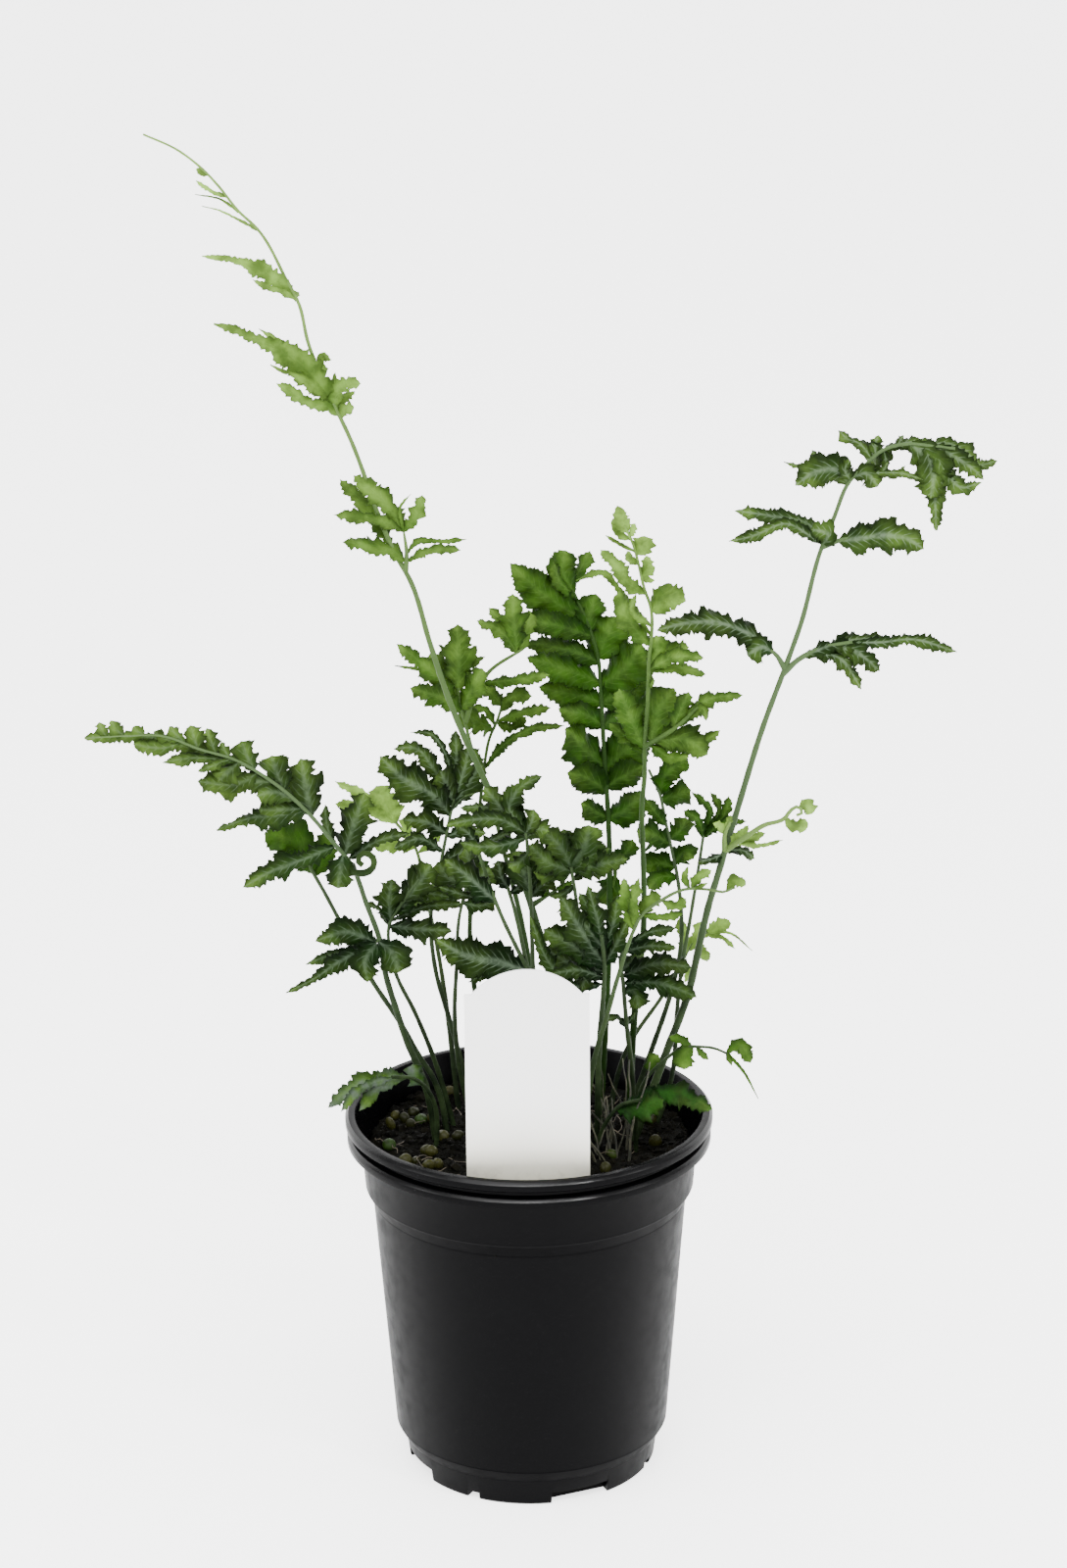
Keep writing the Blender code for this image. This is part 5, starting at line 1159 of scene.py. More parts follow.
def leaf_material(name, green, pale, silver):
    """Leaves and stalks: green, paler by the stored paleness, a feathered silvery band and painted edge
    shade.
    """
    material, nodes, shader = new_material(name)
    offset, edge = attribute(nodes, "across"), attribute(nodes, "edge")
    across = nodes.math("ABSOLUTE", offset)
    run, half = attribute(nodes, "run"), attribute(nodes, "half")
    seed, paleness = attribute(nodes, "seed"), attribute(nodes, "pale")
    mottle = nodes.ramp(grain(nodes, 260.0), 0.3, 0.75)
    darker = scaled(green, 0.55)
    lighter = (green[0] * 1.5 + 0.0008, green[1] * 1.5, green[2] * 1.7)
    tone = blend(nodes, mottle, darker, lighter)
    fresh = nodes.ramp(nodes.math("FRACT", nodes.times(seed, 5.37)), 0.1, 1.0, 0.0, 0.5)
    tone = blend(nodes, fresh, tone, (green[0] * 2.1, green[1] * 1.6, green[2] * 1.9))
    dull = nodes.ramp(nodes.math("FRACT", nodes.times(seed, 9.71)), 0.3, 1.0, 0.0, 0.6)
    tone = blend(nodes, dull, tone, scaled(green, 0.4))
    slant = nodes.times(nodes.times(across, half), VEIN_SLANT)
    wave = nodes.math("FRACT", nodes.math("DIVIDE", nodes.minus(run, slant), VEIN_PITCH))
    vein = nodes.ramp(nodes.math("ABSOLUTE", nodes.minus(wave, 0.5)), 0.34, 0.48)
    reach = nodes.times(vein, nodes.ramp(across, 0.78, 0.2))
    band = nodes.ramp(across, 0.3, 0.02, 0.0, 0.75)
    feather = nodes.math("MAXIMUM", nodes.times(reach, 0.8), band)
    rough_edge = nodes.ramp(grain(nodes, 700.0), 0.3, 0.62, 0.45, 1.0)
    amount = nodes.times(nodes.times(feather, rough_edge), attribute(nodes, "silver"))
    tone = blend(nodes, amount, tone, silver)
    fair = nodes.ramp(grain(nodes, 190.0, 4.0), 0.34, 0.68)
    young = blend(nodes, fair, scaled(pale, 0.5), scaled(pale, 1.55))
    tone = blend(nodes, paleness, tone, young)
    tint = nodes.add("ShaderNodeAttribute", attribute_name="tint").outputs["Vector"]
    tone = blend(nodes, nodes.times(attribute(nodes, "tinted"), mottle), tone, tint)
    # Painted shade: the margins and each leaf's upper edge darken to deep green, standing in for shadows of
    # overlapping leaves
    painted_margin_shade = nodes.times(nodes.ramp(across, 0.5, 1.0, 0.0, 0.4), nodes.math("ABSOLUTE", edge))
    painted_overlap_shade = nodes.ramp(nodes.times(offset, edge), 0.1, 0.9, 0.0, 0.75)
    tone = blend(nodes, nodes.math("MAXIMUM", painted_margin_shade, painted_overlap_shade), tone, scaled(green, 0.3))
    height = axis_of(nodes, place(nodes), "Z")
    streak = nodes.ramp(grain(nodes, 150.0), 0.3, 0.7)
    low_stalk = blend(nodes, streak, *LOW_STALK)
    high_stalk = blend(nodes, paleness, *HIGH_STALK)
    stalk = blend(nodes, nodes.ramp(height, *STALK_HEIGHTS), low_stalk, high_stalk)
    nodes.feed(shader.inputs["Base Color"], blend(nodes, attribute(nodes, "blade"), stalk, tone))
    rough = nodes.ramp(grain(nodes, 320.0), 0.2, 0.8, 0.4, 0.56)
    nodes.feed(shader.inputs["Roughness"], rough)
    shader.inputs["Specular IOR Level"].default_value = 0.03
    ribs = nodes.plus(nodes.times(reach, 0.6), nodes.ramp(across, 0.12, 0.0))
    bumped(nodes, shader, ribs, 0.3, 0.0003)
    return material


def view_axes():
    """The directions to the right, up and away in the front view."""
    pitch, roll = math.radians(VIEW_PITCH), math.radians(VIEW_ROLL)
    right = Vector((1.0, 0.0, 0.0))
    up = Vector((0.0, math.sin(pitch), math.cos(pitch)))
    away = Vector((0.0, math.cos(pitch), -math.sin(pitch)))
    return right * math.cos(roll) - up * math.sin(roll), right * math.sin(roll) + up * math.cos(roll), away


VIEW_RIGHT, VIEW_UP, VIEW_AWAY = view_axes()


def from_view(across, down, depth):
    """The place of a drawn point that lies at a depth behind the pot's axis."""
    aside = VIEW_RIGHT * (across - VIEW_MIDDLE[0]) + VIEW_UP * (VIEW_MIDDLE[1] - down)
    ray = VIEW_AWAY + aside / VIEW_UNITS
    return VIEW_PLACE + ray * ((depth - VIEW_PLACE.y) / ray.y)


def unit_at(spot):
    """The size in mm of one unit of the drawing at a place."""
    return (spot - VIEW_PLACE).dot(VIEW_AWAY) / VIEW_UNITS


def to_view(spot):
    """Where a place shows in the drawing."""
    sight = (spot - VIEW_PLACE) / unit_at(spot)
    return Vector((VIEW_MIDDLE[0] + sight.dot(VIEW_RIGHT), VIEW_MIDDLE[1] - sight.dot(VIEW_UP)))


def read_points(text):
    """The drawn points in a text, and for each its depth, or None where none is given."""
    spots, depths = [], []
    for word in text.split():
        drawn, mark, depth = word.partition("@")
        spots.append(Vector([float(number) for number in drawn.split(",")]))
        depths.append(float(depth) if mark else None)
    return spots, depths


def distances(points):
    """How far along their route each of some points lies."""
    run = [0.0]
    for before, after in zip(points, points[1:]):
        run.append(run[-1] + (after - before).length)
    return run


def nearest_point(route, spot):
    """The point of a route that shows nearest to a drawn point."""
    return min(route, key=lambda point: (to_view(point) - spot).length)


def route_slopes(points):
    """The direction of a smooth curve at each of its points."""
    steps = [after - before for before, after in zip(points, points[1:])]
    slopes = [steps[0].normalized()]
    for before, after in zip(steps, steps[1:]):
        weight = before.length / (before.length + after.length)
        slopes.append(before.normalized().lerp(after.normalized(), weight))
    return slopes + [steps[-1].normalized()]


def smooth_route(points):
    """Closely spaced points along a smooth curve through the given ones."""
    slopes = route_slopes(points)
    fine = []
    for index, (start, end) in enumerate(zip(points, points[1:])):
        length = (end - start).length
        for step in range(CURVE_STEPS):
            t = step / CURVE_STEPS
            ease = 3 * t * t - 2 * t ** 3
            bend = slopes[index] * (t ** 3 - 2 * t * t + t) + slopes[index + 1] * (t ** 3 - t * t)
            fine.append(start.lerp(end, ease) + bend * length)
    return fine + [points[-1]]


def stalk_route(start, spots, depths):
    """A smooth stalk from a place through drawn points, with the missing depths filled in."""
    spots = [to_view(start)] + spots
    depths = [start.y] + depths
    run = distances(spots)
    known = [index for index, depth in enumerate(depths) if depth is not None]
    filled = numpy.interp(run, [run[index] for index in known], [depths[index] for index in known])
    return smooth_route([start] + [from_view(*spot, depth) for spot, depth in zip(spots[1:], filled[1:])])


def leaf_route(stalk, text, turn):
    """A smooth rib from the nearest point of its stalk, its tip turned to the back."""
    spots = read_points(text)[0]
    base = nearest_point(stalk, spots[0])
    run = distances(spots)
    places = [from_view(*spot, base.y + turn * far / run[-1]) for spot, far in zip(spots, run)]
    return smooth_route([base] + places[1:])


def spaced(route, step, fewest):
    """A route as evenly spaced points, and how far along it each one lies."""
    run = numpy.array(distances(route))
    far = numpy.linspace(0.0, run[-1], max(fewest, math.ceil(run[-1] / step)) + 1)
    flat = numpy.array([tuple(point) for point in route])
    return numpy.stack([numpy.interp(far, run, flat[:, axis]) for axis in range(3)], axis=1), far


def eased(shares, knots, column):
    """Read a column of an outline at some shares, easing between its stations."""
    stations = [knot[0] for knot in knots]
    values = [knot[column] for knot in knots]
    spot = numpy.clip(numpy.searchsorted(stations, shares, side="right") - 1, 0, len(knots) - 2)
    start, end = numpy.take(stations, spot), numpy.take(stations, spot + 1)
    t = numpy.clip((shares - start) / (end - start), 0.0, 1.0)
    t = t * t * (3 - 2 * t)
    return numpy.take(values, spot) * (1 - t) + numpy.take(values, spot + 1) * t


class Threads:
    """Gathers routes as chains of points with values stored on each point."""

    def __init__(self):
        self.points, self.edges, self.values = [], [], {}

    def add(self, points, **values):
        """Add one chain. A value is one number or vector for all its points, or a list of one each."""
        first = len(self.points)
        self.points += [tuple(point * MM) for point in points]
        self.edges += [(index, index + 1) for index in range(first, len(self.points) - 1)]
        for name, value in values.items():
            value = numpy.asarray(value, float)
            if value.shape == (3,) or value.ndim == 0:
                value = numpy.broadcast_to(value, (len(points),) + value.shape)
            self.values.setdefault(name, []).append(value)

    def thing(self, name):
        """The chains as an object."""
        mesh = bpy.data.meshes.new(name)
        mesh.from_pydata(self.points, self.edges, [])
        for label, parts in self.values.items():
            values = numpy.concatenate(parts)
            kind = "FLOAT_VECTOR" if values.ndim == 2 else "FLOAT"
            stored = mesh.attributes.new(label, kind, "POINT")
            stored.data.foreach_set("vector" if values.ndim == 2 else "value", values.ravel().astype("f"))
        return new_object(name, mesh)


def add_stalk(threads, route, thick, thin, pale, rise, leafy=0.0):
    """Add a stalk that narrows evenly and turns paler; leafy gives it a share of the leaves' green."""
    points, far = spaced(route, STALK_STEP, 6)
    share = far / far[-1]
    swell = 1.0 + STALK_SWELL[0] * numpy.sin(far * STALK_SWELL[1])
    tone = pale[0] + (pale[1] - pale[0]) * share ** rise
    threads.add(points, half=(thick + (thin - thick) * share) * swell * MM, blade=leafy, run=far * MM,
                seed=0.5, pale=tone, silver=0.0, sweep=0.0, edge=0.0, lobing=0.0, side=(1.0, 0.0, 0.0),
                face=(0.0, 0.0, 1.0), tint=NO_TINT[0], tinted=NO_TINT[1])


def add_leaf(threads, route, width, shape, roll, pale, silver, seed, lobing, tint):
    """Add a rib with the blade's half width, side and face at each of its points."""
    points, far = spaced(route, RIB_STEP, 8)
    points = points - numpy.array(LIGHT_SIDE) * BLADE_BACK
    share = far / far[-1]
    ahead = numpy.gradient(points, axis=0)
    ahead /= numpy.linalg.norm(ahead, axis=1)[:, None]
    flat = numpy.cross(ahead, numpy.array(LIGHT_SIDE))
    flat /= numpy.linalg.norm(flat, axis=1)[:, None]
    lift = numpy.cross(flat, ahead)
    turn = numpy.radians(roll + (seed - 0.5) * LEAF_TWIST * share)[:, None]
    side = flat * numpy.cos(turn) + lift * numpy.sin(turn)
    face = numpy.cross(side, ahead)
    half = numpy.maximum(width / 2 / math.cos(math.radians(roll)) * eased(share, OUTLINES[shape], 1),
                         BLADE_BASE * (1.0 - 0.7 * share))
    # edge gives the leaf's upward side and how much painted shade its margins and upper edge take in the leaf
    # material
    threads.add(points, half=half * MM, blade=1.0, run=far * MM, seed=seed,
                pale=numpy.clip(pale + TIP_PALER * share ** 2, 0.0, 1.0), silver=silver,
                sweep=eased(share, OUTLINES[shape], 2), edge=(1.0 - pale) * numpy.sign(side[0][2]),
                lobing=lobing, side=side, face=face, tint=tint[0], tinted=tint[1])


def frond_threads(name):
    """Every stalk and rib of one frond."""
    root, (thick, thin), stalks, leaves = FRONDS[name]
    silver, low, high, rise = FINISHES[name][1:]
    young, young_tone = YOUNG.get(name, ((), 0.0))
    draw = random.Random(name)
    threads = Threads()
    routes = [stalk_route(Vector((*root, ROOT_HEIGHT)), *read_points(stalks[0]))]
    leafy = STALK_GREEN.get(name, 0.0)
    add_stalk(threads, routes[0], thick, thin, (low, high), rise, leafy)
    top = distances(routes[0])[-1]
    for branch, text in enumerate(stalks[1:], 1):
        spots, depths = read_points(text)
        start = nearest_point(routes[0], spots[0])
        routes.append(stalk_route(start, spots[1:], depths[1:]))
        share = distances(routes[0])[routes[0].index(start)] / top
        tone = max(low + (high - low) * share ** rise, young_tone if branch in young else 0.0)
        coil = COILS.get(name, (0, 0.0, 0.0))
        coiled = branch == coil[0]
        ends = coil[1:] if coiled else (BRANCH_SHARE * thick, thin)
        green = COIL_GREEN if coiled else leafy
        add_stalk(threads, routes[-1], *ends, (tone, min(1.0, tone + BRANCH_PALER)), 1.0, green)
    for index, (stalk, text, width, shape, turn) in enumerate(leaves):
        route = leaf_route(routes[stalk], text, turn)
        width = width * unit_at(route[0]) * FULLNESS.get(name, 1.0)
        if shape == "lobed" and (distances(route)[-1] < SHORT_LEAF or width < NARROW_LEAF):
            shape = "notched"
        share = (route[0] - routes[0][0]).length / (routes[0][-1] - routes[0][0]).length
        tone = max(low + (high - low) * min(1.0, share) ** rise, young_tone if stalk in young else 0.0)
        roll = BLADE_ROLLS[index % len(BLADE_ROLLS)]
        add_leaf(threads, route, width, shape, roll, tone, silver, draw.random(), LOBING.get(name, 1.0),
                 TINTS.get(name, NO_TINT))
    return threads


def thread_tube(nodes, chains, sides):
    """Tubes along chains, with the stored half width as radius."""
    curves = nodes.add("GeometryNodeMeshToCurve", {"Mesh": chains})
    ring = nodes.add("GeometryNodeCurvePrimitiveCircle", {"Resolution": sides, "Radius": 1.0})
    tube = nodes.add("GeometryNodeCurveToMesh",
                     {"Curve": curves.outputs[0], "Profile Curve": ring.outputs[0],
                      "Scale": read_attribute(nodes, "half"), "Fill Caps": True})
    return nodes.add("GeometryNodeSetShadeSmooth", {"Geometry": tube.outputs[0]}).outputs[0]


def blade_shape(nodes, inputs):
    """Where each point of a blade goes: lobes, teeth, ruffles and thickness from the stored values."""
    across, layer = read_attribute(nodes, "across"), read_attribute(nodes, "layer")
    half, run, seed = (read_attribute(nodes, name) for name in ("half", "run", "seed"))
    side, face = (read_attribute(nodes, name, "FLOAT_VECTOR") for name in ("side", "face"))
    lobing = read_attribute(nodes, "lobing")
    hand, reach = nodes.math("SIGN", across), nodes.math("ABSOLUTE", across)
    wide = nodes.math("MINIMUM", nodes.math("DIVIDE", half, WIDE_HALF), 1.0)
    wander = nodes.add("ShaderNodeTexNoise", {"Scale": 1.0, "Detail": 1.0}, noise_dimensions="4D")
    drift = nodes.add("ShaderNodeCombineXYZ", {"X": nodes.times(run, 230.0), "Y": nodes.times(hand, 3.7)})
    nodes.feed(wander.inputs["Vector"], drift.outputs[0])
    nodes.feed(wander.inputs["W"], nodes.times(seed, 40.0))
    uneven = nodes.minus(wander.outputs["Fac"], 0.5)
    start = nodes.plus(nodes.times(hand, 0.23), nodes.times(seed, 7.3))
    beat = nodes.plus(nodes.math("DIVIDE", run, inputs["Tooth Pitch"]), start)
    beat = nodes.plus(beat, nodes.times(uneven, 1.5))
    tooth = nodes.minus(nodes.math("POWER", nodes.math("FRACT", beat), 1.4), 0.5)
    tooth = nodes.times(tooth, inputs["Tooth Depth"])
    swing = nodes.math("MULTIPLY_ADD", uneven, 4.0, nodes.math("DIVIDE", run, inputs["Lobe Pitch"]))
    swing = nodes.plus(swing, nodes.math("MULTIPLY_ADD", hand, 0.21, seed))
    scallop = nodes.math("ABSOLUTE", nodes.math("SINE", nodes.times(swing, math.pi)))
    scallop = nodes.times(nodes.minus(scallop, 0.64), inputs["Lobe Depth"])
    tooth = nodes.math("MULTIPLY_ADD", scallop, lobing, tooth)
    tooth = nodes.times(nodes.times(tooth, wide), nodes.math("POWER", reach, 3.0))
    unlike = nodes.times(nodes.times(uneven, 0.6), lobing)
    lobed = nodes.times(half, nodes.plus(1.0, unlike))
    out = nodes.times(hand, nodes.plus(nodes.times(lobed, reach), tooth))
    phase = nodes.times(nodes.math("DIVIDE", run, inputs["Ruffle Pitch"]), math.tau)
    phase = nodes.plus(phase, nodes.plus(nodes.times(hand, 1.3), nodes.times(seed, 20.0)))
    phase = nodes.plus(phase, nodes.times(uneven, 5.0))
    wave = nodes.times(nodes.math("SINE", phase), inputs["Ruffle"])
    wave = nodes.times(wave, nodes.math("POWER", reach, 1.6))
    droop = nodes.math("MULTIPLY_ADD", lobing, 0.22, -0.44)
    fold = nodes.times(nodes.math("POWER", reach, 1.5), nodes.math("MULTIPLY_ADD", seed, 0.3, droop))
    up = nodes.times(half, nodes.plus(wave, fold))
    up = nodes.plus(up, nodes.times(nodes.times(layer, 0.5), inputs["Blade Thickness"]))
    forward = nodes.times(nodes.times(half, read_attribute(nodes, "sweep")), nodes.math("POWER", reach, 2.0))
    ahead = nodes.vector("CROSS_PRODUCT", face, side)
    spot = read_attribute(nodes, "spot", "FLOAT_VECTOR")
    spot = nodes.vector("ADD", spot, nodes.vector("SCALE", side, out))
    spot = nodes.vector("ADD", spot, nodes.vector("SCALE", face, up))
    return nodes.vector("ADD", spot, nodes.vector("SCALE", ahead, forward))


def frond_tree():
    """Stalks as tubes and blades as thin closed leaves along their ribs."""
    sizes = tuple((label, "NodeSocketFloat") for label in FROND_INPUTS)
    nodes, inputs = new_tree("Frond", sizes + (("Material", "NodeSocketMaterial"),))
    is_blade = nodes.math("GREATER_THAN", read_attribute(nodes, "blade"), 0.99)
    parts = nodes.add("GeometryNodeSeparateGeometry", {"Geometry": inputs["Geometry"], "Selection": is_blade},
                      domain="POINT")
    stalks = thread_tube(nodes, parts.outputs[1], 10)
    ribs = keep_attribute(nodes, parts.outputs[0], "spot", nodes.add("GeometryNodeInputPosition").outputs[0],
                          "FLOAT_VECTOR")
    curves = nodes.add("GeometryNodeMeshToCurve", {"Mesh": ribs})
    ring = nodes.add("GeometryNodeCurvePrimitiveCircle", {"Resolution": 14, "Radius": 1.0}).outputs[0]
    spot = nodes.add("GeometryNodeInputPosition").outputs[0]
    ring = keep_attribute(nodes, ring, "across", axis_of(nodes, spot, "X"))
    ring = keep_attribute(nodes, ring, "layer", axis_of(nodes, spot, "Y"))
    blades = nodes.add("GeometryNodeCurveToMesh",
                       {"Curve": curves.outputs[0], "Profile Curve": ring, "Fill Caps": True})
    shaped = nodes.add("GeometryNodeSetPosition",
                       {"Geometry": blades.outputs[0], "Position": blade_shape(nodes, inputs)})
    smooth = nodes.add("GeometryNodeSetShadeSmooth", {"Geometry": shaped.outputs[0]})
    both = nodes.add("GeometryNodeJoinGeometry")
    nodes.tree.links.new(stalks, both.inputs[0])
    nodes.tree.links.new(smooth.outputs[0], both.inputs[0])
    return end_tree(nodes, both.outputs[0], inputs["Material"])


def hold_in_box(thing):
    """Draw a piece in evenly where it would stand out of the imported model's box."""
    places = numpy.empty(len(thing.data.vertices) * 3, "f")
    thing.data.vertices.foreach_get("co", places)
    places = places.reshape(-1, 3)
    low, high = places.min(axis=0), places.max(axis=0)
    low_kept, high_kept = numpy.maximum(low, CAD_BOX[0]), numpy.minimum(high, CAD_BOX[1])
    places = low_kept + (places - low) * (high_kept - low_kept) / (high - low)
    thing.data.vertices.foreach_set("co", places.ravel().astype("f"))
    thing.data.update()


def face_outwards(thing):
    """Turn any closed part that is inside out."""
    shape = bmesh.new()
    shape.from_mesh(thing.data)
    bmesh.ops.recalc_face_normals(shape, faces=shape.faces)
    shape.to_mesh(thing.data)
    shape.free()


def turned(name, outline, steps):
    """Turn an outline of (radius, height) points round the Z axis into a closed mesh."""
    mesh = bpy.data.meshes.new(name)
    points = [(radius * MM, 0.0, height * MM) for radius, height in outline]
    mesh.from_pydata(points, [(index, index + 1) for index in range(len(points) - 1)], [])
    thing = new_object(name, mesh)
    screw = thing.modifiers.new("Turn", "SCREW")
    screw.axis = "Z"
    screw.angle = math.tau
    screw.steps = screw.render_steps = steps
    screw.use_merge_vertices = True
    screw.merge_threshold = MERGE_GAP
    return thing


def pot_outer_outline():
    """The pot's outer side from the lip down to the underside."""
    groove = LIP_RADIUS - GROOVE_DEPTH
    heel = FOOT_RADIUS + FOOT_STEP
    return [
        (LIP_RADIUS - LIP_WIDTH, POT_HEIGHT),
        (LIP_RADIUS - LIP_ROUND, POT_HEIGHT),
        (LIP_RADIUS, POT_HEIGHT - LIP_ROUND),
        (LIP_RADIUS, LIP_BOTTOM + EDGE_ROUND),
        (LIP_RADIUS - EDGE_ROUND, LIP_BOTTOM),
        (groove, LIP_BOTTOM - EDGE_ROUND),
        (groove, FLANGE_TOP + EDGE_ROUND),
        (LIP_RADIUS - EDGE_ROUND - FLANGE_ROUND, FLANGE_TOP),
        (LIP_RADIUS - EDGE_ROUND, FLANGE_TOP - FLANGE_ROUND),
        (LIP_RADIUS - EDGE_ROUND, FLANGE_BOTTOM + EDGE_ROUND),
        (BAND_TOP_RADIUS, FLANGE_BOTTOM - EDGE_ROUND),
        (BAND_TOP_RADIUS - BAND_TAPER, BAND_BOTTOM + BAND_SLOPE),
        (WALL_TOP_RADIUS, BAND_BOTTOM),
        (heel, FOOT_HEIGHT),
        (heel - HEEL_STEP, FOOT_HEIGHT - HEEL_DROP),
        (FOOT_RADIUS + FOOT_FLARE, FOOT_HEIGHT - HEEL_DROP - EDGE_ROUND),
        (FOOT_RADIUS + FOOT_ROUND, EDGE_ROUND),
        (FOOT_RADIUS, 0.0),
    ]


def pot_inner_outline():
    """The pot's inner side from the floor up to the lip."""
    return [
        (FOOT_RADIUS - WALL, FLOOR),
        (FOOT_RADIUS + FOOT_STEP - WALL, FOOT_HEIGHT),
        (WALL_TOP_RADIUS - WALL, BAND_BOTTOM),
        (BAND_TOP_RADIUS - WALL, FLANGE_BOTTOM + EDGE_ROUND),
        (LIP_RADIUS - LIP_WIDTH - EDGE_ROUND, POT_HEIGHT - LIP_ROUND),
    ]


def drain_cutters():
    """Boxes that cut the notches round the foot, fused into one object."""
    shape = bmesh.new()
    for (width, height), turns in DRAINS:
        for angle in turns:
            size = Matrix.Diagonal((width * MM, DRAIN_DEPTH * MM, 2 * height * MM, 1.0))
            shift = Matrix.Translation((0.0, -(FOOT_RADIUS + EDGE_ROUND) * MM, 0.0))
            spin = Matrix.Rotation(math.radians(angle), 4, "Z")
            bmesh.ops.create_cube(shape, size=1.0, matrix=spin @ shift @ size)
    return new_object("drain_cutters", shape_mesh("drain_cutters", shape))


class FERN_OT_pot(bpy.types.Operator):
    """Make the nursery pot with its lip, flange, band and drain notches"""
    bl_idname = "fern.pot"
    bl_label = "Pot"

    def execute(self, context):
        settings = context.scene.fern_pot
        outer = pot_outer_outline()
        outline = outer + [(0.0, 0.0), (0.0, FLOOR)] + pot_inner_outline() + outer[:1]
        pot = turned("nursery_pot", outline, POT_STEPS)
        cutters = drain_cutters()
        cut = pot.modifiers.new("Notches", "BOOLEAN")
        cut.object = cutters
        cut.operation = "DIFFERENCE"
        round_edges(pot, settings.bevel, 24)
        settle(pot)
        bpy.data.objects.remove(cutters)
        shade_round(pot.data, 30.0)
        paint(pot, plastic_material(tuple(settings.colour), settings.roughness))
        fit(pot, "pot")
        return {"FINISHED"}


def soil_height(radius, angle):
    """A slightly mounded, uneven top."""
    mound = SOIL_MOUND * (1.0 - (radius / SOIL_EDGE_RADIUS) ** 2)
    waves = math.sin(3.0 * angle + 0.15 * radius) + math.sin(5.0 * angle - 0.21 * radius)
    return SOIL_TOP + mound + SOIL_RELIEF * waves


def soil_outline():
    """Half a section: the top from the middle out, the side just inside the pot, the underside."""
    top = [(SOIL_EDGE_RADIUS * ring / SOIL_RINGS, SOIL_TOP) for ring in range(SOIL_RINGS + 1)]
    inner = pot_inner_outline()
    side = [(radius - GAP, height) for radius, height in (inner[2], inner[1])]
    return top + side + [(inner[0][0] - GAP, FLOOR + GAP), (0.0, FLOOR + GAP)]


def soil_spot(x, y):
    """The height of the soil in mm at a place in mm, lumps included."""
    lump = noise.fractal(Vector((x, y, 0.0)) * LUMP_SCALE, 0.8, 2.0, 4)
    edge = max(0.0, min(1.0, (SOIL_EDGE_RADIUS - math.hypot(x, y)) / LUMP_MARGIN))
    return soil_height(math.hypot(x, y), math.atan2(y, x)) + LUMP_HEIGHT * lump * edge - LUMP_DROP


def shaded(nodes, placed, seed):
    """Store a random shade on each placed copy, for its material."""
    shade = random_value(nodes, seed, 0.0, 1.0)
    return keep_attribute(nodes, placed.outputs[0], "shade", shade, domain="INSTANCE")


def crumb_tree():
    """Crumbs scattered over the soil: small lumps of uneven size, turned every way."""
    nodes, inputs = new_tree("Crumbs", (("Density", "NodeSocketFloat"), ("Size", "NodeSocketFloat"),
                                        ("Seed", "NodeSocketInt"), ("Material", "NodeSocketMaterial")))
    upward = axis_of(nodes, nodes.add("GeometryNodeInputNormal").outputs[0], "Z")
    spots = nodes.add("GeometryNodeDistributePointsOnFaces",
                      {"Mesh": inputs["Geometry"], "Selection": nodes.math("GREATER_THAN", upward, 0.6),
                       "Density": inputs["Density"], "Seed": inputs["Seed"]})
    lump = nodes.add("GeometryNodeMeshIcoSphere", {"Radius": inputs["Size"], "Subdivisions": 1}).outputs[0]
    push = nodes.vector("SCALE", random_value(nodes, 0, (-0.4,) * 3, (0.4,) * 3), inputs["Size"])
    lump = nodes.add("GeometryNodeSetPosition", {"Geometry": lump, "Offset": push}).outputs[0]
    turn = random_value(nodes, 1, (0.0,) * 3, (FULL_TURN,) * 3)
    grow = nodes.math("POWER", random_value(nodes, 2, 0.0, 1.0), 3.0)
    size = nodes.math("MULTIPLY_ADD", grow, 1.6, 0.35)
    placed = nodes.add("GeometryNodeInstanceOnPoints",
                       {"Points": spots.outputs["Points"], "Instance": lump, "Rotation": turn, "Scale": size})
    return end_tree(nodes, shaded(nodes, placed, 3), inputs["Material"])


def prill_tree():
    """Round beads on given points, a little uneven in size."""
    nodes, inputs = new_tree("Prills", (("Size", "NodeSocketFloat"), ("Seed", "NodeSocketInt"),
                                        ("Material", "NodeSocketMaterial")))
    bead = nodes.add("GeometryNodeMeshIcoSphere", {"Radius": inputs["Size"], "Subdivisions": 4}).outputs[0]
    spot = nodes.add("GeometryNodeInputPosition").outputs[0]
    dent = nodes.add("ShaderNodeTexNoise", {"Vector": spot, "Scale": 420.0}).outputs["Fac"]
    push = nodes.vector("SCALE", spot, nodes.math("MULTIPLY_ADD", dent, 0.3, -0.15))
    bead = nodes.add("GeometryNodeSetPosition", {"Geometry": bead, "Offset": push}).outputs[0]
    bead = nodes.add("GeometryNodeSetShadeSmooth", {"Geometry": bead}).outputs[0]
    turn = random_value(nodes, inputs["Seed"], (0.0,) * 3, (FULL_TURN,) * 3)
    grow = random_value(nodes, 5, (0.72, 0.72, 0.6), (1.12, 1.05, 1.0))
    placed = nodes.add("GeometryNodeInstanceOnPoints",
                       {"Points": inputs["Geometry"], "Instance": bead, "Rotation": turn, "Scale": grow})
    return end_tree(nodes, shaded(nodes, placed, 7), inputs["Material"])


def fibre_tree():
    """Thin tubes along chains."""
    nodes, inputs = new_tree("Fibres", (("Material", "NodeSocketMaterial"),))
    return end_tree(nodes, thread_tube(nodes, inputs["Geometry"], 6), inputs["Material"])


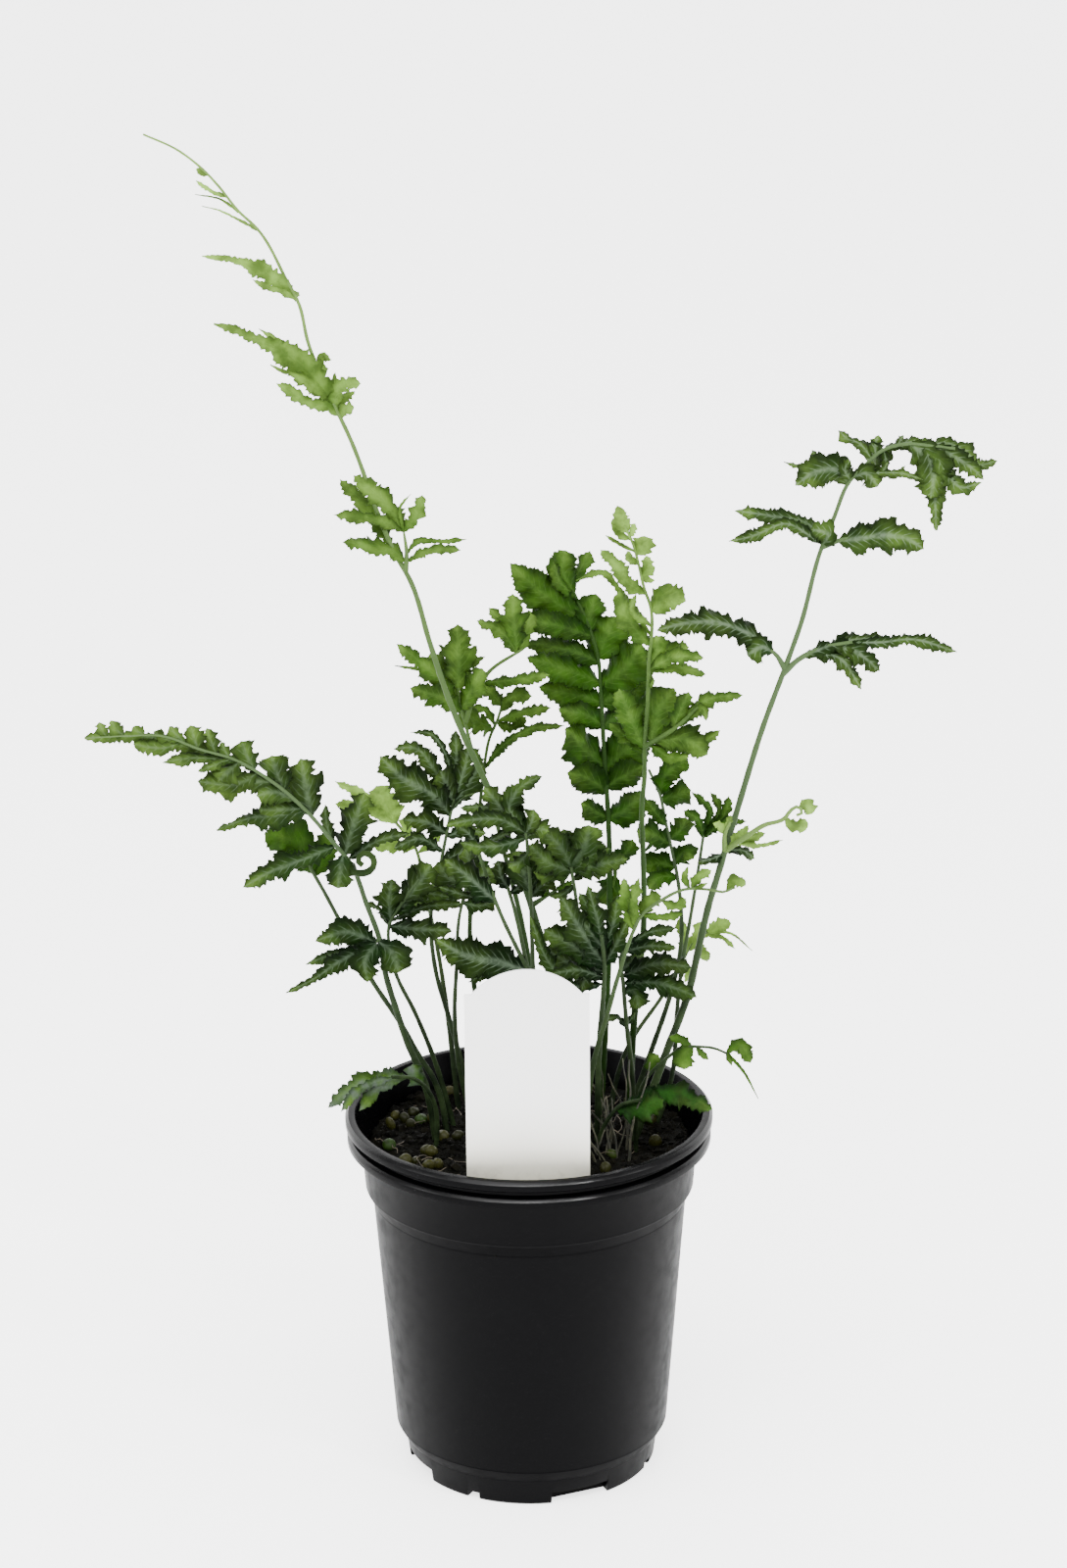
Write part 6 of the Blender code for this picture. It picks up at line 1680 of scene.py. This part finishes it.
class FERN_OT_soil(bpy.types.Operator):
    """Make the soil's uneven top and scatter crumbs over it"""
    bl_idname = "fern.soil"
    bl_label = "Soil"

    def execute(self, context):
        settings = context.scene.fern_soil
        soil = settle(turned("soil_bed", soil_outline(), POT_STEPS))
        for point in soil.data.vertices:
            if point.co.z > (SOIL_TOP - GAP) * MM:
                point.co.z = soil_spot(point.co.x / MM, point.co.y / MM) * MM
        soil.data.shade_smooth()
        paint(soil, soil_material(tuple(settings.colour)))
        crumbs = new_object("soil_crumbs", soil.data.copy())
        values = {"Density": float(settings.crumbs), "Size": settings.crumb_size, "Seed": CRUMB_SEED,
                  "Material": crumb_material(tuple(settings.colour))}
        grown(crumbs, crumb_tree(), values)
        fit(soil, "soil")
        fit(crumbs)
        return {"FINISHED"}


class FERN_OT_prills(bpy.types.Operator):
    """Lay the release prills on the soil"""
    bl_idname = "fern.prills"
    bl_label = "Prills"

    def execute(self, context):
        settings = context.scene.fern_soil
        draw = random.Random(PRILL_SEED)
        points = []
        for x, y in PRILLS + BACK_PRILLS:
            lift = draw.uniform(0.3, 0.8) * settings.prill_size / MM
            points.append((x * MM, y * MM, (soil_spot(x, y) + lift) * MM))
        mesh = bpy.data.meshes.new("release_prills")
        mesh.from_pydata(points, [], [])
        prills = new_object("release_prills", mesh)
        values = {"Size": settings.prill_size, "Seed": PRILL_TURN_SEED, "Material": prill_material()}
        grown(prills, prill_tree(), values)
        fit(prills)
        return {"FINISHED"}


def wandering(draw, start, way, length, bend, steps=9):
    """A chain that wanders from a start in mm."""
    points = [Vector(start)]
    way = Vector(way).normalized()
    for _ in range(steps):
        way = (way + Vector([draw.uniform(-bend, bend) for _ in range(3)])).normalized()
        points.append(points[-1] + way * length / steps)
    return points


class FERN_OT_litter(bpy.types.Operator):
    """Add the old dry stems round the crown and the loose fibres on the soil"""
    bl_idname = "fern.litter"
    bl_label = "Dry stems and fibres"

    def execute(self, context):
        settings = context.scene.fern_soil
        draw = random.Random(LITTER_SEED)
        stubs, fibres = Threads(), Threads()
        for index in range(settings.stubs):
            (x, y), spread, reach = STUB_CLUMPS[index % len(STUB_CLUMPS)]
            x, y = draw.gauss(x, spread), draw.gauss(y, spread)
            lean = (draw.uniform(-0.5, 0.5), draw.uniform(-0.3, 0.4), 1.0)
            start = (x, y, soil_spot(x, y) - STUB_SUNK)
            chain = wandering(draw, start, lean, reach * draw.uniform(0.3, 1.0), 0.2)
            add_thread(stubs, chain, draw.uniform(*STUB_RADII), STUB_TIP)
        for _ in range(settings.roots):
            angle, radius = draw.uniform(0.0, math.tau), FIBRE_REACH * math.sqrt(draw.random())
            x, y = radius * math.cos(angle), radius * math.sin(angle)
            way = (draw.uniform(-1, 1), draw.uniform(-1, 1), 0.25)
            chain = wandering(draw, (x, y, soil_spot(x, y)), way, draw.uniform(*FIBRE_LENGTHS), 0.5)
            add_thread(fibres, [seated(point) for point in chain], draw.uniform(*FIBRE_RADII), FIBRE_TIP)
        kinds = (("dry_stems", stubs, "dry stems", STUB_COLOURS),
                 ("loose_fibres", fibres, "straw fibres", FIBRE_COLOURS))
        for name, threads, finish, colours in kinds:
            piece = threads.thing(name)
            grown(piece, fibre_tree(), {"Material": fibre_material(finish, *colours)})
            face_outwards(piece)
            fit(piece)
        return {"FINISHED"}


def seated(point):
    """Keep a fibre's point on the soil and inside the pot."""
    x, y = point.x, point.y
    far = math.hypot(x, y)
    limit = SOIL_EDGE_RADIUS - WALL_MARGIN
    if far > limit:
        x, y = x * limit / far, y * limit / far
    floor = soil_spot(x, y) + FIBRE_LIFTS[0]
    return Vector((x, y, min(max(point.z, floor), floor + FIBRE_LIFTS[1])))


def add_thread(threads, chain, thick, thin):
    """Add one fibre that narrows evenly."""
    points, far = spaced(chain, FIBRE_STEP, 4)
    share = far / far[-1]
    threads.add(points, half=(thick + (thin - thick) * share) * MM)


def tag_outline():
    """An arched top on two small ledges and a narrow stake, counter-clockwise from the foot."""
    half = TAG_WIDTH / 2
    arch_half = half - TAG_LEDGE
    rise = TAG_CROWN - TAG_SHOULDER
    radius = (arch_half ** 2 + rise ** 2) / (2 * rise)
    spread = math.asin(arch_half / radius)
    arch = []
    for step in range(ARCH_STEPS + 1):
        angle = spread * (1 - 2 * step / ARCH_STEPS)
        arch.append((radius * math.sin(angle), TAG_CROWN - radius * (1 - math.cos(angle))))
    stake = TAG_STAKE_WIDTH / 2
    right = [(TAG_POINT_HALF, TAG_FOOT), (stake, TAG_FOOT + TAG_POINT), (stake, TAG_STAKE_TOP)]
    right += [(half, TAG_STAKE_TOP + TAG_SHOULDER_RISE), (half, TAG_SHOULDER)]
    left = [(-x, z) for x, z in reversed(right)]
    return right + arch + left


class FERN_OT_tag(bpy.types.Operator):
    """Make the blank plant tag"""
    bl_idname = "fern.tag"
    bl_label = "Plant tag"

    def execute(self, context):
        settings = context.scene.fern_tag
        shape = bmesh.new()
        points = [shape.verts.new((x * MM, -TAG_THICKNESS / 2 * MM, z * MM)) for x, z in tag_outline()]
        face = shape.faces.new(points)
        pulled = bmesh.ops.extrude_face_region(shape, geom=[face])
        moved = [item for item in pulled["geom"] if isinstance(item, bmesh.types.BMVert)]
        bmesh.ops.translate(shape, verts=moved, vec=(0.0, TAG_THICKNESS * MM, 0.0))
        bmesh.ops.recalc_face_normals(shape, faces=shape.faces)
        pivot = Matrix.Translation((0.0, 0.0, SOIL_TOP * MM))
        lean = Matrix.Rotation(math.radians(TAG_LEAN), 4, "X")
        stand = Matrix.Translation((TAG_PLACE[0] * MM, TAG_PLACE[1] * MM, 0.0))
        bmesh.ops.transform(shape, matrix=stand @ pivot @ lean @ pivot.inverted(), verts=shape.verts)
        tag = new_object("plant_tag", shape_mesh("plant_tag", shape))
        round_edges(tag, TAG_EDGE, 30)
        settle(tag)
        shade_round(tag.data, 30.0)
        paint(tag, tag_material(tuple(settings.colour), tuple(settings.foot_tint)))
        fit(tag, "tag")
        return {"FINISHED"}


class FERN_OT_fronds(bpy.types.Operator):
    """Grow every frond along its drawn stalks and ribs"""
    bl_idname = "fern.fronds"
    bl_label = "Fronds"

    def execute(self, context):
        settings = context.scene.fern_fronds
        greens = {"dark_frond": settings.dark, "bright_frond": settings.bright}
        ribs = {"dark_frond": settings.silver, "bright_frond": settings.vein}
        finish = {slot: leaf_material(slot, tuple(green), tuple(settings.pale), tuple(ribs[slot]))
                  for slot, green in greens.items()}
        tree = frond_tree()
        for node in FRONDS:
            slot = FINISHES[node][0]
            frond = frond_threads(node).thing("leafy_" + node)
            values = {label: getattr(settings, name) for label, name in FROND_INPUTS.items()}
            grown(frond, tree, values | {"Material": finish[slot]})
            hold_in_box(frond)
            face_outwards(frond)
            fit(frond, node)
        return {"FINISHED"}


def studio_light(name, size, power, spot, target):
    """A soft area light aimed at a place."""
    data = bpy.data.lights.new(name, "AREA")
    data.shape = "RECTANGLE"
    data.size, data.size_y = size
    data.energy = power
    light = new_object(name, data)
    light.location = spot
    light.rotation_euler = (Vector(target) - Vector(spot)).to_track_quat("-Z", "Y").to_euler()
    return light


class FERN_OT_stage(bpy.types.Operator):
    """Set up the pale floor and backdrop, the soft lights and the camera"""
    bl_idname = "fern.stage"
    bl_label = "Stage"

    def execute(self, context):
        settings = context.scene.fern_stage
        self.make_floor(tuple(settings.floor), settings.glow)
        self.make_sky(context.scene, settings.sky)
        for name, size, power, spot in LIGHTS:
            studio_light(name, size, getattr(settings, power), spot, LIT_PLACE)
        self.make_camera(context.scene)
        return {"FINISHED"}

    def make_floor(self, colour, glow):
        """A lit floor that curves up into a backdrop."""
        shape = bmesh.new()
        route = [(FLOOR_FRONT, 0.0), (FLOOR_BEND, 0.0)]
        for step in range(1, BEND_STEPS + 1):
            turn = step * math.pi / 2 / BEND_STEPS
            route.append((FLOOR_BEND + BEND_RADIUS * math.sin(turn), BEND_RADIUS * (1.0 - math.cos(turn))))
        route.append((FLOOR_BEND + BEND_RADIUS, BACKDROP_TOP))
        rows = [[shape.verts.new((x, y, z)) for x in (-FLOOR_HALF, FLOOR_HALF)] for y, z in route]
        for low, high in zip(rows, rows[1:]):
            shape.faces.new((low[0], low[1], high[1], high[0]))
        floor = new_object("floor", shape_mesh("floor", shape))
        floor.data.shade_smooth()
        material, _, shader = new_material("pale studio floor")
        shader.inputs["Base Color"].default_value = (*colour, 1.0)
        shader.inputs["Roughness"].default_value = 0.9
        shader.inputs["Emission Color"].default_value = (1.0, 1.0, 1.0, 1.0)
        shader.inputs["Emission Strength"].default_value = glow
        paint(floor, material)

    def make_sky(self, scene, strength):
        """Even white light from all round."""
        world = bpy.data.worlds.new("even light")
        world.use_nodes = True
        background = world.node_tree.nodes["Background"]
        background.inputs["Color"].default_value = (1.0, 1.0, 1.0, 1.0)
        background.inputs["Strength"].default_value = strength
        scene.world = world

    def make_camera(self, scene):
        """The camera stands where the front view's eye is."""
        data = bpy.data.cameras.new("camera")
        data.sensor_width = SENSOR
        data.lens = VIEW_UNITS / VIEW_TALL * SENSOR
        data.clip_start = 0.01
        camera = new_object("camera", data)
        turn = Matrix((VIEW_RIGHT, VIEW_UP, -VIEW_AWAY)).transposed().to_4x4()
        camera.matrix_world = Matrix.Translation(VIEW_PLACE * MM) @ turn
        scene.camera = camera


class FERN_PT_panel(bpy.types.Panel):
    """The fern's pieces"""
    bl_idname = "FERN_PT_panel"
    bl_label = "Potted brake fern"
    bl_space_type = "VIEW_3D"
    bl_region_type = "UI"
    bl_category = "Fern"

    def draw(self, context):
        for title, operators, settings in SECTIONS:
            box = self.layout.box()
            box.label(text=title)
            group = getattr(context.scene, settings)
            for name in group.bl_rna.properties.keys():
                if name not in ("rna_type", "name"):
                    box.prop(group, name)
            for operator in operators:
                box.operator(operator)


SECTIONS = (
    ("Pot", ("fern.pot",), "fern_pot"),
    ("Soil", ("fern.soil", "fern.prills", "fern.litter"), "fern_soil"),
    ("Plant tag", ("fern.tag",), "fern_tag"),
    ("Fronds", ("fern.fronds",), "fern_fronds"),
    ("Stage", ("fern.stage",), "fern_stage"),
)
SETTINGS = {
    "fern_pot": PotSettings,
    "fern_soil": SoilSettings,
    "fern_tag": TagSettings,
    "fern_fronds": FrondSettings,
    "fern_stage": StageSettings,
}
OPERATORS = (FERN_OT_pot, FERN_OT_soil, FERN_OT_prills, FERN_OT_litter, FERN_OT_tag, FERN_OT_fronds,
             FERN_OT_stage)


def register():
    """Register the settings, the operators and the panel."""
    for name, kind in SETTINGS.items():
        bpy.utils.register_class(kind)
        setattr(bpy.types.Scene, name, bpy.props.PointerProperty(type=kind))
    for kind in OPERATORS + (FERN_PT_panel,):
        bpy.utils.register_class(kind)


def unregister():
    """Take them away again."""
    for kind in (FERN_PT_panel,) + tuple(reversed(OPERATORS)):
        bpy.utils.unregister_class(kind)
    for name, kind in reversed(SETTINGS.items()):
        delattr(bpy.types.Scene, name)
        bpy.utils.unregister_class(kind)


def main():
    """Make every piece in order."""
    register()
    bpy.ops.fern.pot()
    bpy.ops.fern.soil()
    bpy.ops.fern.prills()
    bpy.ops.fern.litter()
    bpy.ops.fern.tag()
    bpy.ops.fern.fronds()
    bpy.ops.fern.stage()


if __name__ == "__main__":
    main()
